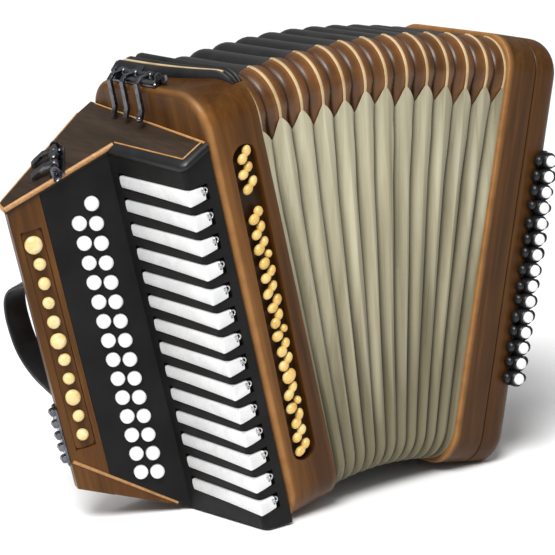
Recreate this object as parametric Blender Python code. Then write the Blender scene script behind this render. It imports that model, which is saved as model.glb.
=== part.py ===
"""A fan-opened accordion with a piano-key and button treble side, as named solids.

Metres, +Z up. The origin is on the ground, under the middle of the object. +X runs from the treble
casing to the bass casing, and +Y runs to the back, where the player's hand goes through the strap.

The treble casing is the fixed body. Each fold of the bellows hinges on the one before it, along the
bottom edge, and the bass casing hinges on the last fold. Both casings lean outwards by their share of
the fan angle and stand on their outer bottom edges.

Treble pieces are placed with (a, f, w): a is how far out from the casing's outer face, f is how far
back from the front face, and w is the height along the casing.
"""

import math

import bmesh
import bpy
from mathutils import Matrix, Vector

# Driving dimensions -------------------------------------------------------------------------------
HEIGHT = 0.360  # of each casing and of the bellows, along the casing
DEPTH = 0.150  # front to back
TREBLE_THICK = 0.050
BASS_THICK = 0.060
CORNER_R = 0.030  # the rounded corners that run along X
WALL = 0.006  # wood casing wall
GAP = 0.0003  # between pieces that touch

FOLDS = 11
FOLD_PITCH = 0.00975  # from one fold to the next along the closed bottom edge
FAN_ANGLE = math.radians(24.8)  # between the two casings, as it stands
FOLD_DEEP = 0.020  # from a fold's outer ridge to its inner edge
BELLOWS_INSET = 0.003  # the bellows are this much smaller than the casings in front, behind and below
BELLOWS_DROP = 0.004  # and this much lower
CENTRE_SHIFT = (0.0459, -0.0041)  # puts the origin under the middle of the object's box
BASS_ROUND = 0.014  # radius of the bass side's outer edges
FOOT_CUT = 0.0025  # depth of the level flats that both casings stand on

KEYS = 14
KEY_PITCH = 0.020
KEY_TALL = 0.0118
KEY_LOW = 0.0290  # height of the lowest key's centre
KEY_PROUD = 0.002  # how far a key stands out of the black housing
KEY_CLEAR = 0.0005
KEY_END = 0.0135  # where a key ends on the front wall, out from the casing
KEY_SLOPE = 0.09  # how steeply a key rises from the front corner to the valley

BUTTON_PAIRS = 14
BUTTON_PITCH = 0.0165
BUTTON_LOW = 0.0520  # height of the lowest button of the inner column
BUTTON_STAGGER = 0.004  # the outer column sits this much higher
BUTTON_COLUMNS = (0.0205, 0.0335)  # along the board from the valley
BUTTON_R = 0.0058
BUTTON_PROUD = 0.0045  # a button is pressed 3 mm
BORE_CLEAR = 0.0004

BASS_GROUPS = 3
BASS_PER_GROUP = 5
BASS_PITCH = 0.0131
BASS_LOW = 0.079
BASS_BUTTON_R = 0.0048

# The keyboard wing's plan, in (a, f) -------------------------------------------------------------
FRONT_F = 0.002  # front face of the black housing
CORNER = Vector((0.027, FRONT_F))  # front corner of the key housing
VALLEY = Vector((0.035, 0.088))  # where the key face meets the button board
TIP = Vector((0.115, 0.118))  # outermost edge
TIP_BACK = Vector((0.112, 0.127))
BACK = Vector((0.014, 0.148))
SKIN = 0.004  # black housing wall
WING_WALL = 0.0045
FLOOR_THICK = 0.005
LID_THICK = 0.005
LID_OVERHANG = 0.0015
BOARD_WIDE = 0.058  # width of the black part of the button board
ALONG_KEYS = (VALLEY - CORNER).normalized()
OUT_OF_KEYS = Vector((ALONG_KEYS.y, -ALONG_KEYS.x))
ALONG_BOARD = (TIP - VALLEY).normalized()
OUT_OF_BOARD = Vector((ALONG_BOARD.y, -ALONG_BOARD.x))
ALONG_BACK = (BACK - TIP_BACK).normalized()
OUT_OF_BACK = Vector((ALONG_BACK.y, -ALONG_BACK.x))
ALONG_TIP = (TIP - TIP_BACK).normalized()
OUT_OF_TIP = Vector((-ALONG_TIP.y, ALONG_TIP.x))
AXLE_ALONG = 0.088  # from the front corner to the key axle
KEY_AXLE = CORNER + AXLE_ALONG * ALONG_KEYS - 0.010 * OUT_OF_KEYS
AXLE_R = 0.002
SHELF_LOW = 0.3045  # the plate that holds the key axle's upper end


def lid_top(a, f):
    """Height of the sloping lid's upper face."""
    return HEIGHT - (0.0185 + 0.33 * a + 0.113 * (DEPTH - f))


def under_lid(a, f):
    """Height of the top of the walls that the lid rests on."""
    return lid_top(a, f) - LID_THICK - GAP


def past_valley(a, f):
    """How far a point is along the button board from the valley, and 0 on the key side."""
    return max(0, (Vector((a, f)) - VALLEY).dot(ALONG_BOARD))


def wing_bottom(a, f):
    """Height of the wing's underside, which rises outwards."""
    return 0.0045 + 0.21 * a + 0.35 * past_valley(a, f)


def board_bottom(a, f):
    """Height of the black housing's lower edge, above a wooden base that widens towards the tip."""
    return wing_bottom(a, f) + 0.30 * past_valley(a, f)


def base_bottom(a, f):
    """Height of the base's underside, just clear of the plane of the walls' underside."""
    return wing_bottom(a, f) + 0.0003


def floor_bottom(a, f):
    """Height of the floor's underside, just clear of the base's."""
    return wing_bottom(a, f) + 0.0006


def base_top(a, f):
    """Height of the top of the wooden base under the button board."""
    return board_bottom(a, f) - GAP


def floor_top(a, f):
    """Height of the upper face of the wing's floor."""
    return wing_bottom(a, f) + FLOOR_THICK


# Shape helpers -----------------------------------------------------------------------------------
def arc(centre, radius, start, end, steps):
    """Points of an arc, angles in degrees."""
    angles = [math.radians(start + (end - start) * i / steps) for i in range(steps + 1)]
    return [(centre[0] + radius * math.cos(t), centre[1] + radius * math.sin(t)) for t in angles]


def rounded_box(low, high, radius, steps=3):
    """Outline of a rectangle with round corners."""
    x0, y0 = low[0] + radius, low[1] + radius
    x1, y1 = high[0] - radius, high[1] - radius
    corners = (((x1, y1), 0), ((x0, y1), 90), ((x0, y0), 180), ((x1, y0), 270))
    return [p for centre, start in corners for p in arc(centre, radius, start, start + 90, steps)]


def circle(centre, radius, steps=12):
    return arc(centre, radius, 0, 360 * (steps - 1) / steps, steps - 1)


def offset(outline, distance):
    """The outline moved outwards by distance (inwards if negative), with mitred corners."""
    points = [Vector(p) for p in outline]
    area = sum(p.cross(q) for p, q in zip(points, points[1:] + points[:1]))
    side = 1 if area > 0 else -1
    moved = []
    for before, here, after in zip(points[-1:] + points[:-1], points, points[1:] + points[:1]):
        one, two = (here - before).normalized(), (after - here).normalized()
        normal_one, normal_two = Vector((one.y, -one.x)), Vector((two.y, -two.x))
        middle = (normal_one + normal_two).normalized()
        moved.append(here + side * middle * distance / max(0.3, middle.dot(normal_one)))
    return moved


def ribbon(path, thickness):
    """The closed outline of a strip of this thickness along an open path."""
    points = [Vector(p) for p in path]
    left, right = [], []
    for i, here in enumerate(points):
        before, after = points[max(i - 1, 0)], points[min(i + 1, len(points) - 1)]
        way = (after - before).normalized()
        normal = Vector((-way.y, way.x)) * thickness / 2
        left.append(here + normal)
        right.append(here - normal)
    return left + right[::-1]


def new_object(name, mesh):
    obj = bpy.data.objects.new(name, mesh)
    bpy.context.scene.collection.objects.link(obj)
    return obj


def tidy(mesh):
    """Welds a mesh and turns its faces outwards."""
    bm = bmesh.new()
    bm.from_mesh(mesh)
    bmesh.ops.remove_doubles(bm, verts=bm.verts, dist=1e-6)
    bmesh.ops.recalc_face_normals(bm, faces=bm.faces)
    bm.to_mesh(mesh)
    bm.free()


def prism(outlines, low, high, turn=None):
    """A flat outline, with any holes after it, made solid from z = low to z = high, then turned."""
    curve = bpy.data.curves.new("outline", "CURVE")
    curve.dimensions = "2D"
    curve.fill_mode = "BOTH"
    curve.extrude = (high - low) / 2
    for outline in outlines:
        spline = curve.splines.new("POLY")
        spline.points.add(len(outline) - 1)
        for point, (x, y) in zip(spline.points, outline):
            point.co = (x, y, 0, 1)
        spline.use_cyclic_u = True
    guide = new_object("outline", curve)
    graph = bpy.context.evaluated_depsgraph_get()
    mesh = bpy.data.meshes.new_from_object(guide.evaluated_get(graph))
    bpy.data.objects.remove(guide)
    mesh.transform(Matrix.Translation((0, 0, (low + high) / 2)))
    if turn is not None:
        mesh.transform(turn)
    tidy(mesh)
    return new_object("prism", mesh)


def bake(obj):
    """Replaces the object's mesh with what its modifiers make of it."""
    bpy.context.view_layer.update()
    graph = bpy.context.evaluated_depsgraph_get()
    mesh = bpy.data.meshes.new_from_object(obj.evaluated_get(graph))
    obj.modifiers.clear()
    obj.data = mesh
    return obj


def combine(obj, others, operation):
    """A Boolean of the object with each of the others, which are used up."""
    for other in others:
        modifier = obj.modifiers.new(operation, "BOOLEAN")
        modifier.operation = operation
        modifier.object = other
    bake(obj)
    for other in others:
        bpy.data.objects.remove(other)
    return obj


def union(obj, *others):
    return combine(obj, others, "UNION")


def cut(obj, *others):
    return combine(obj, others, "DIFFERENCE")


def joined(objects):
    """Several closed shapes as one object, to cut with."""
    bm = bmesh.new()
    for obj in objects:
        bm.from_mesh(obj.data)
        bpy.data.objects.remove(obj)
    mesh = bpy.data.meshes.new("joined")
    bm.to_mesh(mesh)
    bm.free()
    return new_object("joined", mesh)


def box(low, high):
    """A box between two corners."""
    bm = bmesh.new()
    bmesh.ops.create_cube(bm, size=1)
    size, middle = Vector(high) - Vector(low), (Vector(high) + Vector(low)) / 2
    bmesh.ops.scale(bm, vec=size, verts=bm.verts)
    bmesh.ops.translate(bm, vec=middle, verts=bm.verts)
    mesh = bpy.data.meshes.new("box")
    bm.to_mesh(mesh)
    bm.free()
    return new_object("box", mesh)


def cylinder(radius_low, radius_high, low, high, steps=12, turn=None):
    """A cylinder or cone along z from low to high, then turned."""
    bm = bmesh.new()
    bmesh.ops.create_cone(
        bm, cap_ends=True, segments=steps, radius1=radius_low, radius2=radius_high, depth=high - low
    )
    bmesh.ops.translate(bm, vec=(0, 0, (low + high) / 2), verts=bm.verts)
    mesh = bpy.data.meshes.new("cylinder")
    bm.to_mesh(mesh)
    bm.free()
    if turn is not None:
        mesh.transform(turn)
    tidy(mesh)
    return new_object("cylinder", mesh)


def frame_matrix(place, x_axis, y_axis):
    """A matrix that carries local x and y to two square directions, and the origin to a place."""
    x_axis, y_axis = Vector(x_axis).normalized(), Vector(y_axis).normalized()
    z_axis = x_axis.cross(y_axis)
    turn = Matrix((x_axis, y_axis, z_axis)).transposed().to_4x4()
    return Matrix.Translation(place) @ turn


def sloped(obj, low, high):
    """Moves a unit-tall prism's faces to the heights low(a, f) and high(a, f) of the wing."""
    for vertex in obj.data.vertices:
        a, f = -vertex.co.x - TREBLE_THICK, vertex.co.y + DEPTH / 2
        vertex.co.z = high(a, f) if vertex.co.z > 0.5 else low(a, f)
    return obj


def plan(point):
    """(a, f) as x and y of the treble casing's frame."""
    return Vector((-TREBLE_THICK - point[0], point[1] - DEPTH / 2))


def plan3(point, w):
    x, y = plan(point)
    return Vector((x, y, w))


def plan_way(direction):
    """An (a, f) direction in the treble casing's frame."""
    return Vector((-direction[0], direction[1], 0))


def wing_prism(points):
    return prism([[plan(p) for p in points]], 0, 1)


def sweep_ring(path, section):
    """A closed ring: the section, as (inset, x) points, carried round a path in the YZ plane."""
    rings = [[(x, p) for p in offset(path, -inset)] for inset, x in section]
    bm = bmesh.new()
    loops = [[bm.verts.new((x, p[0], p[1])) for x, p in ring] for ring in rings]
    for one, two in zip(loops, loops[1:] + loops[:1]):
        for i in range(len(path)):
            j = (i + 1) % len(path)
            bm.faces.new((one[i], one[j], two[j], two[i]))
    bmesh.ops.recalc_face_normals(bm, faces=bm.faces)
    mesh = bpy.data.meshes.new("ring")
    bm.to_mesh(mesh)
    bm.free()
    return new_object("ring", mesh)


def loft(path, section):
    """A solid between closed rings: the path inset by the section's insets, at the section's x."""
    bm = bmesh.new()
    loops = [[bm.verts.new((x, p[0], p[1])) for p in offset(path, -inset)] for inset, x in section]
    for one, two in zip(loops, loops[1:]):
        for i in range(len(path)):
            j = (i + 1) % len(path)
            bm.faces.new((one[i], one[j], two[j], two[i]))
    bm.faces.new(loops[0])
    bm.faces.new(loops[-1])
    bmesh.ops.recalc_face_normals(bm, faces=bm.faces)
    mesh = bpy.data.meshes.new("loft")
    bm.to_mesh(mesh)
    bm.free()
    return new_object("loft", mesh)


# Materials and placing ---------------------------------------------------------------------------
COLOURS = {
    "walnut": ((0.20, 0.085, 0.03), 0.42, 0.0),
    "dark_veneer": ((0.045, 0.03, 0.022), 0.5, 0.0),
    "black_lacquer": ((0.012, 0.012, 0.013), 0.38, 0.0),
    "ivory": ((0.80, 0.80, 0.78), 0.3, 0.0),
    "cream_pearl": ((0.80, 0.62, 0.33), 0.35, 0.0),
    "gold_bead": ((0.72, 0.50, 0.15), 0.35, 0.0),
    "bellows_cloth": ((0.55, 0.50, 0.38), 0.8, 0.0),
    "reed_wood": ((0.62, 0.45, 0.27), 0.6, 0.0),
    "steel": ((0.45, 0.45, 0.46), 0.3, 1.0),
    "black_metal": ((0.05, 0.05, 0.06), 0.3, 0.9),
    "black_leather": ((0.02, 0.02, 0.022), 0.55, 0.0),
}


def make_materials():
    made = {}
    for name, (colour, roughness, metallic) in COLOURS.items():
        material = bpy.data.materials.new(name)
        material.use_nodes = True
        shader = material.node_tree.nodes["Principled BSDF"]
        shader.inputs["Base Color"].default_value = (*colour, 1)
        shader.inputs["Roughness"].default_value = roughness
        shader.inputs["Metallic"].default_value = metallic
        made[name] = material
    return made


def place(obj, name, material, parent, location=(0, 0, 0), round_edges=False):
    """Names a finished solid, gives it its material and hangs it on its frame."""
    obj.name = name
    obj.data.materials.clear()
    obj.data.materials.append(material)
    obj.parent = parent
    obj.location = location
    bpy.context.scene.collection.objects.unlink(obj)
    bpy.data.collections["accordion"].objects.link(obj)
    if round_edges:
        obj.data.shade_smooth()
        obj.data.set_sharp_from_angle(angle=math.radians(40))
    return obj


def copy_of(obj, name, parent, location):
    """Another piece with the same mesh."""
    twin = bpy.data.objects.new(name, obj.data)
    bpy.data.collections["accordion"].objects.link(twin)
    twin.parent = parent
    twin.location = location
    return twin


def empty(name, parent, matrix):
    found = bpy.data.objects.new(name, None)
    bpy.data.collections["accordion"].objects.link(found)
    found.parent = parent
    found.matrix_local = matrix
    return found


# Casings -----------------------------------------------------------------------------------------
ALONG_X = frame_matrix((0, 0, 0), (0, 1, 0), (0, 0, 1))  # an outline's x and y become y and z
OUTLINE = rounded_box((-DEPTH / 2, 0), (DEPTH / 2, HEIGHT), CORNER_R)
INSIDE = offset(OUTLINE, -WALL)
PLATE_THICK = 0.005
BEAD_SLOT = (-0.037, -0.015, 0.050, 0.312)  # x from and to, w from and to


def treble_casing():
    """A wooden shell, open to the bellows, with a pierced foundation plate and a slot at the front."""
    shell = prism([OUTLINE, INSIDE], -TREBLE_THICK, 0, ALONG_X)
    windows = [
        rounded_box((-0.052, 0.040 + 0.055 * i), (-0.016, 0.082 + 0.055 * i), 0.003, 2) for i in range(5)
    ]
    low = 0.0005 - TREBLE_THICK
    plate = prism([offset(OUTLINE, -WALL / 2), *windows], low, PLATE_THICK - TREBLE_THICK, ALONG_X)
    x0, x1, w0, w1 = BEAD_SLOT
    slot_turn = frame_matrix((0, -DEPTH / 2, 0), (1, 0, 0), (0, 0, 1))
    slot = prism([rounded_box((x0, w0), (x1, w1), 0.010, 3)], -0.010, 0.010, slot_turn)
    return cut(union(shell, plate), slot)


def bead_strip():
    """A strip behind the front slot, with pairs of beads that stand out through it."""
    x0, x1, w0, w1 = BEAD_SLOT
    turn = frame_matrix((0, -DEPTH / 2, 0), (1, 0, 0), (0, 0, 1))  # z runs to the front
    low = -WALL - GAP
    strip = prism([rounded_box((x0 - 0.003, w0 - 0.003), (x1 + 0.003, w1 + 0.003), 0.004, 2)], low - 0.002, low, turn)
    rows, lean = 18, math.radians(35)
    shapes = []
    for i in range(rows):
        middle = Vector(((x0 + x1) / 2, w0 + 0.012 + (w1 - w0 - 0.024) * i / (rows - 1)))
        way = Vector((math.cos(lean), math.sin(lean))) * 0.0048
        bean = [tuple(middle + way + Vector(p)) for p in arc((0, 0), 0.0034, -55, 125, 3)]
        bean += [tuple(middle - way + Vector(p)) for p in arc((0, 0), 0.0034, 125, 305, 3)]
        shapes.append(prism([bean], low - 0.001, 0.0015, turn))
    return union(strip, joined(shapes))


REED_CELLS = 10
REED_BLOCK = (0.038, 0.262)  # width and length
REED_WALL = 0.004
REED_AT_F = -0.034  # the treble block sits to the front, and the bass block as far to the back
REED_LOW = 0.050
TREBLE_REED_TALL = 0.032
BASS_REED_TALL = 0.020


def reed_block(tall):
    """A wooden reed block, with a cell across it for each pair of reeds."""
    wide, long = REED_BLOCK
    block = box((0, -wide / 2, 0), (tall, wide / 2, long))
    pitch = (long - REED_WALL) / REED_CELLS
    cells = [
        box((REED_WALL, -wide, pitch * i + REED_WALL), (tall - REED_WALL, wide, pitch * (i + 1)))
        for i in range(REED_CELLS)
    ]
    return cut(block, joined(cells))


def bass_casing():
    """The inner half of the bass side: a wooden ring with a foundation plate across it."""
    ring = prism([OUTLINE, INSIDE], 0, BASS_SPLIT, ALONG_X)
    windows = [
        rounded_box((-0.014, 0.045 + 0.055 * i), (0.014, 0.085 + 0.055 * i), 0.003, 2) for i in range(5)
    ]
    low = BASS_SPLIT - PLATE_THICK
    plate = prism([offset(OUTLINE, -WALL / 2), *windows], low, BASS_SPLIT - 0.0005, ALONG_X)
    return union(ring, plate)


BASS_SPLIT = 0.031  # where the end cover meets the bass casing
ROUND_STEPS = 4
RAIL = {"x": (0.043, 0.063), "y": (-0.082, -0.066), "w": (0.070, 0.272)}
RAIL_WALL = 0.003


def bass_end_cover():
    """The outer half of the bass side: a wooden cap with round edges, notched in front for the rail."""
    low = BASS_SPLIT + GAP
    section = [(0, low)]
    section += [
        (BASS_ROUND * (1 - math.cos(t)), BASS_THICK - BASS_ROUND * (1 - math.sin(t)))
        for t in (math.radians(90 * i / ROUND_STEPS) for i in range(ROUND_STEPS + 1))
    ]
    cap = loft(OUTLINE, section)
    hollow = [(WALL, low - 0.01), (WALL, BASS_THICK - BASS_ROUND), (BASS_ROUND, BASS_THICK - WALL)]
    (x0, _), (_, y1), (w0, w1) = RAIL["x"], RAIL["y"], RAIL["w"]
    notch = box((x0 - GAP, -0.1, w0 - GAP), (0.07, y1 + GAP, w1 + GAP))
    return cut(cap, loft(OUTLINE, hollow), notch)


def bass_positions(group):
    """Heights of a group's five buttons."""
    first = group * BASS_PER_GROUP
    return [BASS_LOW + BASS_PITCH * (first + i) for i in range(BASS_PER_GROUP)]


def bass_rail():
    """A black channel on the front edge of the bass side, bored for fifteen buttons."""
    (x0, x1), (y0, y1), (w0, w1) = RAIL["x"], RAIL["y"], RAIL["w"]
    bar = prism([rounded_box((x0, w0), (x1, w1), 0.006, 3)], y0, y1, FRONTWARD)
    hollow = box((x0 + RAIL_WALL, y0 + RAIL_WALL, w0 + RAIL_WALL), (x1 - RAIL_WALL, y1 + 0.01, w1 - RAIL_WALL))
    heights = [w for group in range(BASS_GROUPS) for w in bass_positions(group)]
    bore_r = BASS_BUTTON_R + BORE_CLEAR
    bores = [
        cylinder(bore_r, bore_r, y0 - 0.01, y0 + 0.01, 10, FRONTWARD @ Matrix.Translation(((x0 + x1) / 2, w, 0)))
        for w in heights
    ]
    return cut(bar, hollow, joined(bores))


# x and z of the outline stay, and its own z becomes +y
FRONTWARD = Matrix(((1, 0, 0, 0), (0, 0, 1, 0), (0, 1, 0, 0), (0, 0, 0, 1)))


def button(radius, proud, face, back, turn):
    """A button that comes out of a bore: its axis is z, it ends at back, and it narrows at its top.

    The face of the board is at z = face. The button stands out on the side away from back.
    """
    side = 1 if face > back else -1
    top, shoulder = face + side * proud, face + side * proud * 0.6
    bm = bmesh.new()
    rings = [(radius, back), (radius, shoulder), (radius * 0.72, top)]
    loops = [[bm.verts.new((x, y, z)) for x, y in circle((0, 0), r, 10)] for r, z in rings]
    for one, two in zip(loops, loops[1:]):
        for i in range(10):
            bm.faces.new((one[i], one[(i + 1) % 10], two[(i + 1) % 10], two[i]))
    bm.faces.new(loops[0])
    bm.faces.new(loops[-1])
    mesh = bpy.data.meshes.new("button")
    bm.to_mesh(mesh)
    bm.free()
    mesh.transform(turn)
    tidy(mesh)
    return new_object("button", mesh)


def bass_button_group():
    """Five buttons on one bar behind the rail, with the lowest at w = 0 and the caps to the front."""
    (x0, x1), (y0, _) = RAIL["x"], RAIL["y"]
    middle = (x0 + x1) / 2
    back = y0 + RAIL_WALL + 0.0005
    top = BASS_PITCH * (BASS_PER_GROUP - 1)
    bar = box((middle - 0.004, back, -0.004), (middle + 0.004, back + 0.003, top + 0.004))
    caps = []
    for i in range(BASS_PER_GROUP):
        turn = FRONTWARD @ Matrix.Translation((middle, BASS_PITCH * i, 0))
        caps.append(button(BASS_BUTTON_R, 0.0055, y0, back + 0.001, turn))
    return union(bar, *caps)


# The keyboard wing -------------------------------------------------------------------------------
def inner(point, out, distance):
    return Vector(point) - Vector(out) * distance


BOARD_END = VALLEY + BOARD_WIDE * ALONG_BOARD
WING_A = GAP  # the wing starts this far from the casing
VALLEY_IN = VALLEY + SKIN * (-(OUT_OF_KEYS + OUT_OF_BOARD) / (1 + OUT_OF_KEYS.dot(OUT_OF_BOARD)))


def front_corner(inset):
    """The rounded front corner of the key housing, moved inwards by inset."""
    radius = 0.006 - inset if inset < 0.005 else 0.001
    centre = CORNER + Vector((-0.0064, 0.006))
    return [Vector(p) for p in arc(centre, radius, -90, -5.3, 4)]


def key_slot_plan():
    """Plan of one key's slot: through the key face and round the corner of the front wall."""
    reach, end = 0.009, 0.078
    return [
        Vector((KEY_END - 0.005, FRONT_F - 0.006)),
        CORNER + 0.006 * OUT_OF_KEYS - 0.006 * ALONG_KEYS,
        CORNER + 0.006 * OUT_OF_KEYS + end * ALONG_KEYS,
        CORNER - reach * OUT_OF_KEYS + end * ALONG_KEYS,
        CORNER - reach * OUT_OF_KEYS + 0.008 * ALONG_KEYS,
        Vector((KEY_END - 0.005, FRONT_F + 0.008)),
    ]


def key_height(number):
    """Height of a key's centre at the front corner; key 1 is the top one."""
    return KEY_LOW + KEY_PITCH * (KEYS - number)


def hub_height(number):
    """Height of a key's centre at the axle."""
    return key_height(number) + KEY_SLOPE * AXLE_ALONG


def rising(piece):
    """Shears a key or its slot, so that it rises from the front corner to the valley."""
    for vertex in piece.data.vertices:
        spot = Vector((-TREBLE_THICK - vertex.co.x, vertex.co.y + DEPTH / 2))
        vertex.co.z += KEY_SLOPE * (spot - CORNER).dot(ALONG_KEYS)
    return piece


def fingerboard():
    """The black housing: front wall, key face with its slots, and button board with its bores."""
    outer = [Vector((WING_A, FRONT_F)), *front_corner(0), VALLEY, BOARD_END - GAP * ALONG_BOARD]
    inside = [
        inner(BOARD_END - GAP * ALONG_BOARD, OUT_OF_BOARD, SKIN),
        VALLEY_IN,
        *reversed(front_corner(SKIN)),
        Vector((WING_A, FRONT_F + SKIN)),
    ]
    wall = sloped(wing_prism(outer + inside), board_bottom, under_lid)
    half = KEY_TALL / 2 + KEY_CLEAR
    slots = []
    for number in range(1, KEYS + 1):
        middle = key_height(number)
        slots.append(rising(prism([[plan(p) for p in key_slot_plan()]], middle - half, middle + half)))
    bore_r = BUTTON_R + BORE_CLEAR
    bores = [
        cylinder(bore_r, bore_r, -0.010, 0.010, 10, board_matrix(column, height))
        for column, height in all_buttons()
    ]
    return cut(wall, joined(slots), joined(bores))


def board_matrix(column, height):
    """A button's place on the board's face: its z points out of the board."""
    spot = plan3(VALLEY + BUTTON_COLUMNS[column] * ALONG_BOARD, height)
    return frame_matrix(spot, (0, 0, 1), plan_way(OUT_OF_BOARD).cross(Vector((0, 0, 1))))


def pair_height(number):
    """Height of a pair's inner button; pair 1 is the top one."""
    return BUTTON_LOW + BUTTON_PITCH * (BUTTON_PAIRS - number)


def all_buttons():
    """Every button's (column, height), with the single one on top of the inner column."""
    found = [(0, pair_height(0))]
    for number in range(1, BUTTON_PAIRS + 1):
        found += [(0, pair_height(number)), (1, pair_height(number) + BUTTON_STAGGER)]
    return found


def button_set(buttons):
    """Buttons on one bar behind the board, built about the inner column. Each is (column, height)."""
    zero = board_matrix(0, 0).inverted()
    spots = [zero @ board_matrix(column, w) for column, w in buttons]
    places = [Vector((m.translation.x, m.translation.y)) for m in spots]
    behind = -SKIN - 0.0005
    pieces = []
    for one, two in zip(places, places[1:]):
        way = (two - one).normalized() * 0.0035
        side = Vector((-way.y, way.x)) * 0.8
        bar = [one - way - side, two + way - side, two + way + side, one - way + side]
        pieces.append(prism([bar], behind - 0.003, behind))
    for spot in places:
        turn = Matrix.Translation((spot.x, spot.y, 0))
        pieces.append(button(BUTTON_R, BUTTON_PROUD, 0, behind - 0.001, turn))
    return union(pieces[0], *pieces[1:])


def key_piece():
    """A piano key: a bar on the key face, bent round the front corner, with a neck and a hub inside."""
    out, along = OUT_OF_KEYS, ALONG_KEYS
    bar = [  # the neck passes under the housing wall and ends in the hub
        Vector((KEY_END, FRONT_F - KEY_PROUD)),
        CORNER + KEY_PROUD * out - KEY_PROUD * along + Vector((-0.002, 0)),
        CORNER + KEY_PROUD * out,
        CORNER + KEY_PROUD * out + 0.076 * along,
        CORNER - 0.0050 * out + 0.0765 * along,
        CORNER - 0.0062 * out + 0.088 * along,
        CORNER - 0.0125 * out + 0.086 * along,
        CORNER - 0.0125 * out + 0.074 * along,
        CORNER - 0.0046 * out + 0.050 * along,
        CORNER - 0.0046 * out + 0.006 * along,
        Vector((KEY_END, FRONT_F + 0.0045)),
    ]
    half = KEY_TALL / 2
    body = prism([[plan(p) for p in bar]], -half, half)
    hub_turn = Matrix.Translation(plan3(KEY_AXLE, 0))
    hub = cylinder(0.0048, 0.0048, -half + 0.0004, half - 0.0004, 12, hub_turn)
    bore = cylinder(AXLE_R + GAP, AXLE_R + GAP, -0.02, 0.02, 12, hub_turn)
    key = rising(cut(union(body, hub), bore))
    key.data.transform(Matrix.Translation(-plan3(KEY_AXLE, KEY_SLOPE * AXLE_ALONG)))
    return key


def key_axle():
    """The steel rod that all the keys turn on."""
    low = wing_bottom(*KEY_AXLE) + 0.0025
    return cylinder(AXLE_R, AXLE_R, low, SHELF_LOW + 0.007, 12, Matrix.Translation(plan3(KEY_AXLE, 0)))


def keyboard_wing():
    """The wooden wing: solid tip, back wall, floor, and the shelf that holds the axle's upper end."""
    tip_in = BOARD_END + 0.002 * ALONG_BOARD - (SKIN + 0.0002) * OUT_OF_BOARD
    tip_back = Vector((tip_in.x, TIP_BACK.y + (TIP_BACK.x - tip_in.x) * -ALONG_BACK.y / ALONG_BACK.x - WING_WALL))
    wall_plan = [
        BOARD_END,
        TIP,
        TIP_BACK,
        BACK,
        Vector((WING_A, BACK.y)),
        Vector((WING_A, BACK.y - WING_WALL)),
        Vector((BACK.x - 0.001, BACK.y - WING_WALL)),
        tip_back,
        tip_in,
        inner(BOARD_END, OUT_OF_BOARD, SKIN),
    ]
    wall = sloped(wing_prism(wall_plan), wing_bottom, under_lid)
    clear = SKIN + GAP
    valley_clear = VALLEY + clear / SKIN * (VALLEY_IN - VALLEY)
    floor_plan = [
        Vector((WING_A, FRONT_F + clear)),
        *front_corner(clear),
        valley_clear,
        tip_in + 0.002 * ALONG_BOARD - 0.002 * OUT_OF_BOARD,
        tip_back + Vector((0.002, 0.002)),
        Vector((BACK.x, BACK.y - WING_WALL / 2)),
        Vector((WING_A, BACK.y - WING_WALL / 2)),
    ]
    floor = sloped(wing_prism(floor_plan), floor_bottom, floor_top)
    base_ends = (VALLEY + 0.010 * ALONG_BOARD, BOARD_END + 0.004 * ALONG_BOARD)
    base_plan = [inner(end, OUT_OF_BOARD, 0.0002) for end in base_ends]
    base_plan += [inner(end, OUT_OF_BOARD, 2 * SKIN) for end in reversed(base_ends)]
    base = sloped(wing_prism(base_plan), base_bottom, base_top)
    shelf_plan = [(0.012, 0.080), (0.034, 0.097), (0.034, 0.1425), (0.012, 0.146)]
    shelf = prism([[plan(p) for p in shelf_plan]], SHELF_LOW, SHELF_LOW + 0.004)
    bore = cylinder(AXLE_R + GAP, AXLE_R + GAP, 0.011, 0.4, 12, Matrix.Translation(plan3(KEY_AXLE, 0)))
    s0, s1 = STUD_RECESS["s"]
    recess_plan = [VALLEY + s * ALONG_BOARD + n * OUT_OF_BOARD for s, n in (
        (s0, 0.01), (s1, 0.01), (s1, -STUD_RECESS["deep"]), (s0, -STUD_RECESS["deep"]))]
    recess = prism([[plan(p) for p in recess_plan]], *STUD_RECESS["w"])
    return cut(union(wall, floor, base, shelf), bore, recess)


STUD_RECESS = {"s": (0.0625, 0.0795), "w": (0.090, 0.276), "deep": 0.003}
STUDS = 11


def stud_strip():
    """A strip in the wing's recess with a column of round pearl studs."""
    s0, s1 = STUD_RECESS["s"]
    w0, w1 = STUD_RECESS["w"]
    deep = STUD_RECESS["deep"]
    face = frame_matrix(plan3(VALLEY, 0), plan_way(ALONG_BOARD), (0, 0, 1))
    if face.col[2].to_3d().dot(plan_way(OUT_OF_BOARD)) < 0:
        face = face @ Matrix.Scale(-1, 4, (0, 0, 1))
    clear = 0.0004
    outline = rounded_box((s0 + clear, w0 + clear), (s1 - clear, w1 - clear), 0.003, 2)
    strip = prism([outline], clear - deep, clear - deep + 0.0012, face)
    middle = (s0 + s1) / 2
    studs = []
    for i in range(STUDS):
        spot = Matrix.Translation((middle, w0 + 0.012 + (w1 - w0 - 0.024) * i / (STUDS - 1), 0))
        studs.append(cylinder(0.0055, 0.0038, -deep + 0.001, 0.0032, 10, face @ spot))
    return union(strip, joined(studs))


def wing_plan():
    """The whole wing's outline in plan."""
    return [
        Vector((WING_A, FRONT_F)), *front_corner(0), VALLEY, TIP, TIP_BACK, BACK, Vector((WING_A, BACK.y))
    ]


def wing_lid():
    """The dark lid that slopes down outwards and to the front."""
    outline = offset(wing_plan(), LID_OVERHANG)
    outline = [Vector((max(WING_A, p.x), p.y)) for p in outline]
    return sloped(wing_prism(outline), lambda a, f: lid_top(a, f) - LID_THICK, lid_top)


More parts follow.
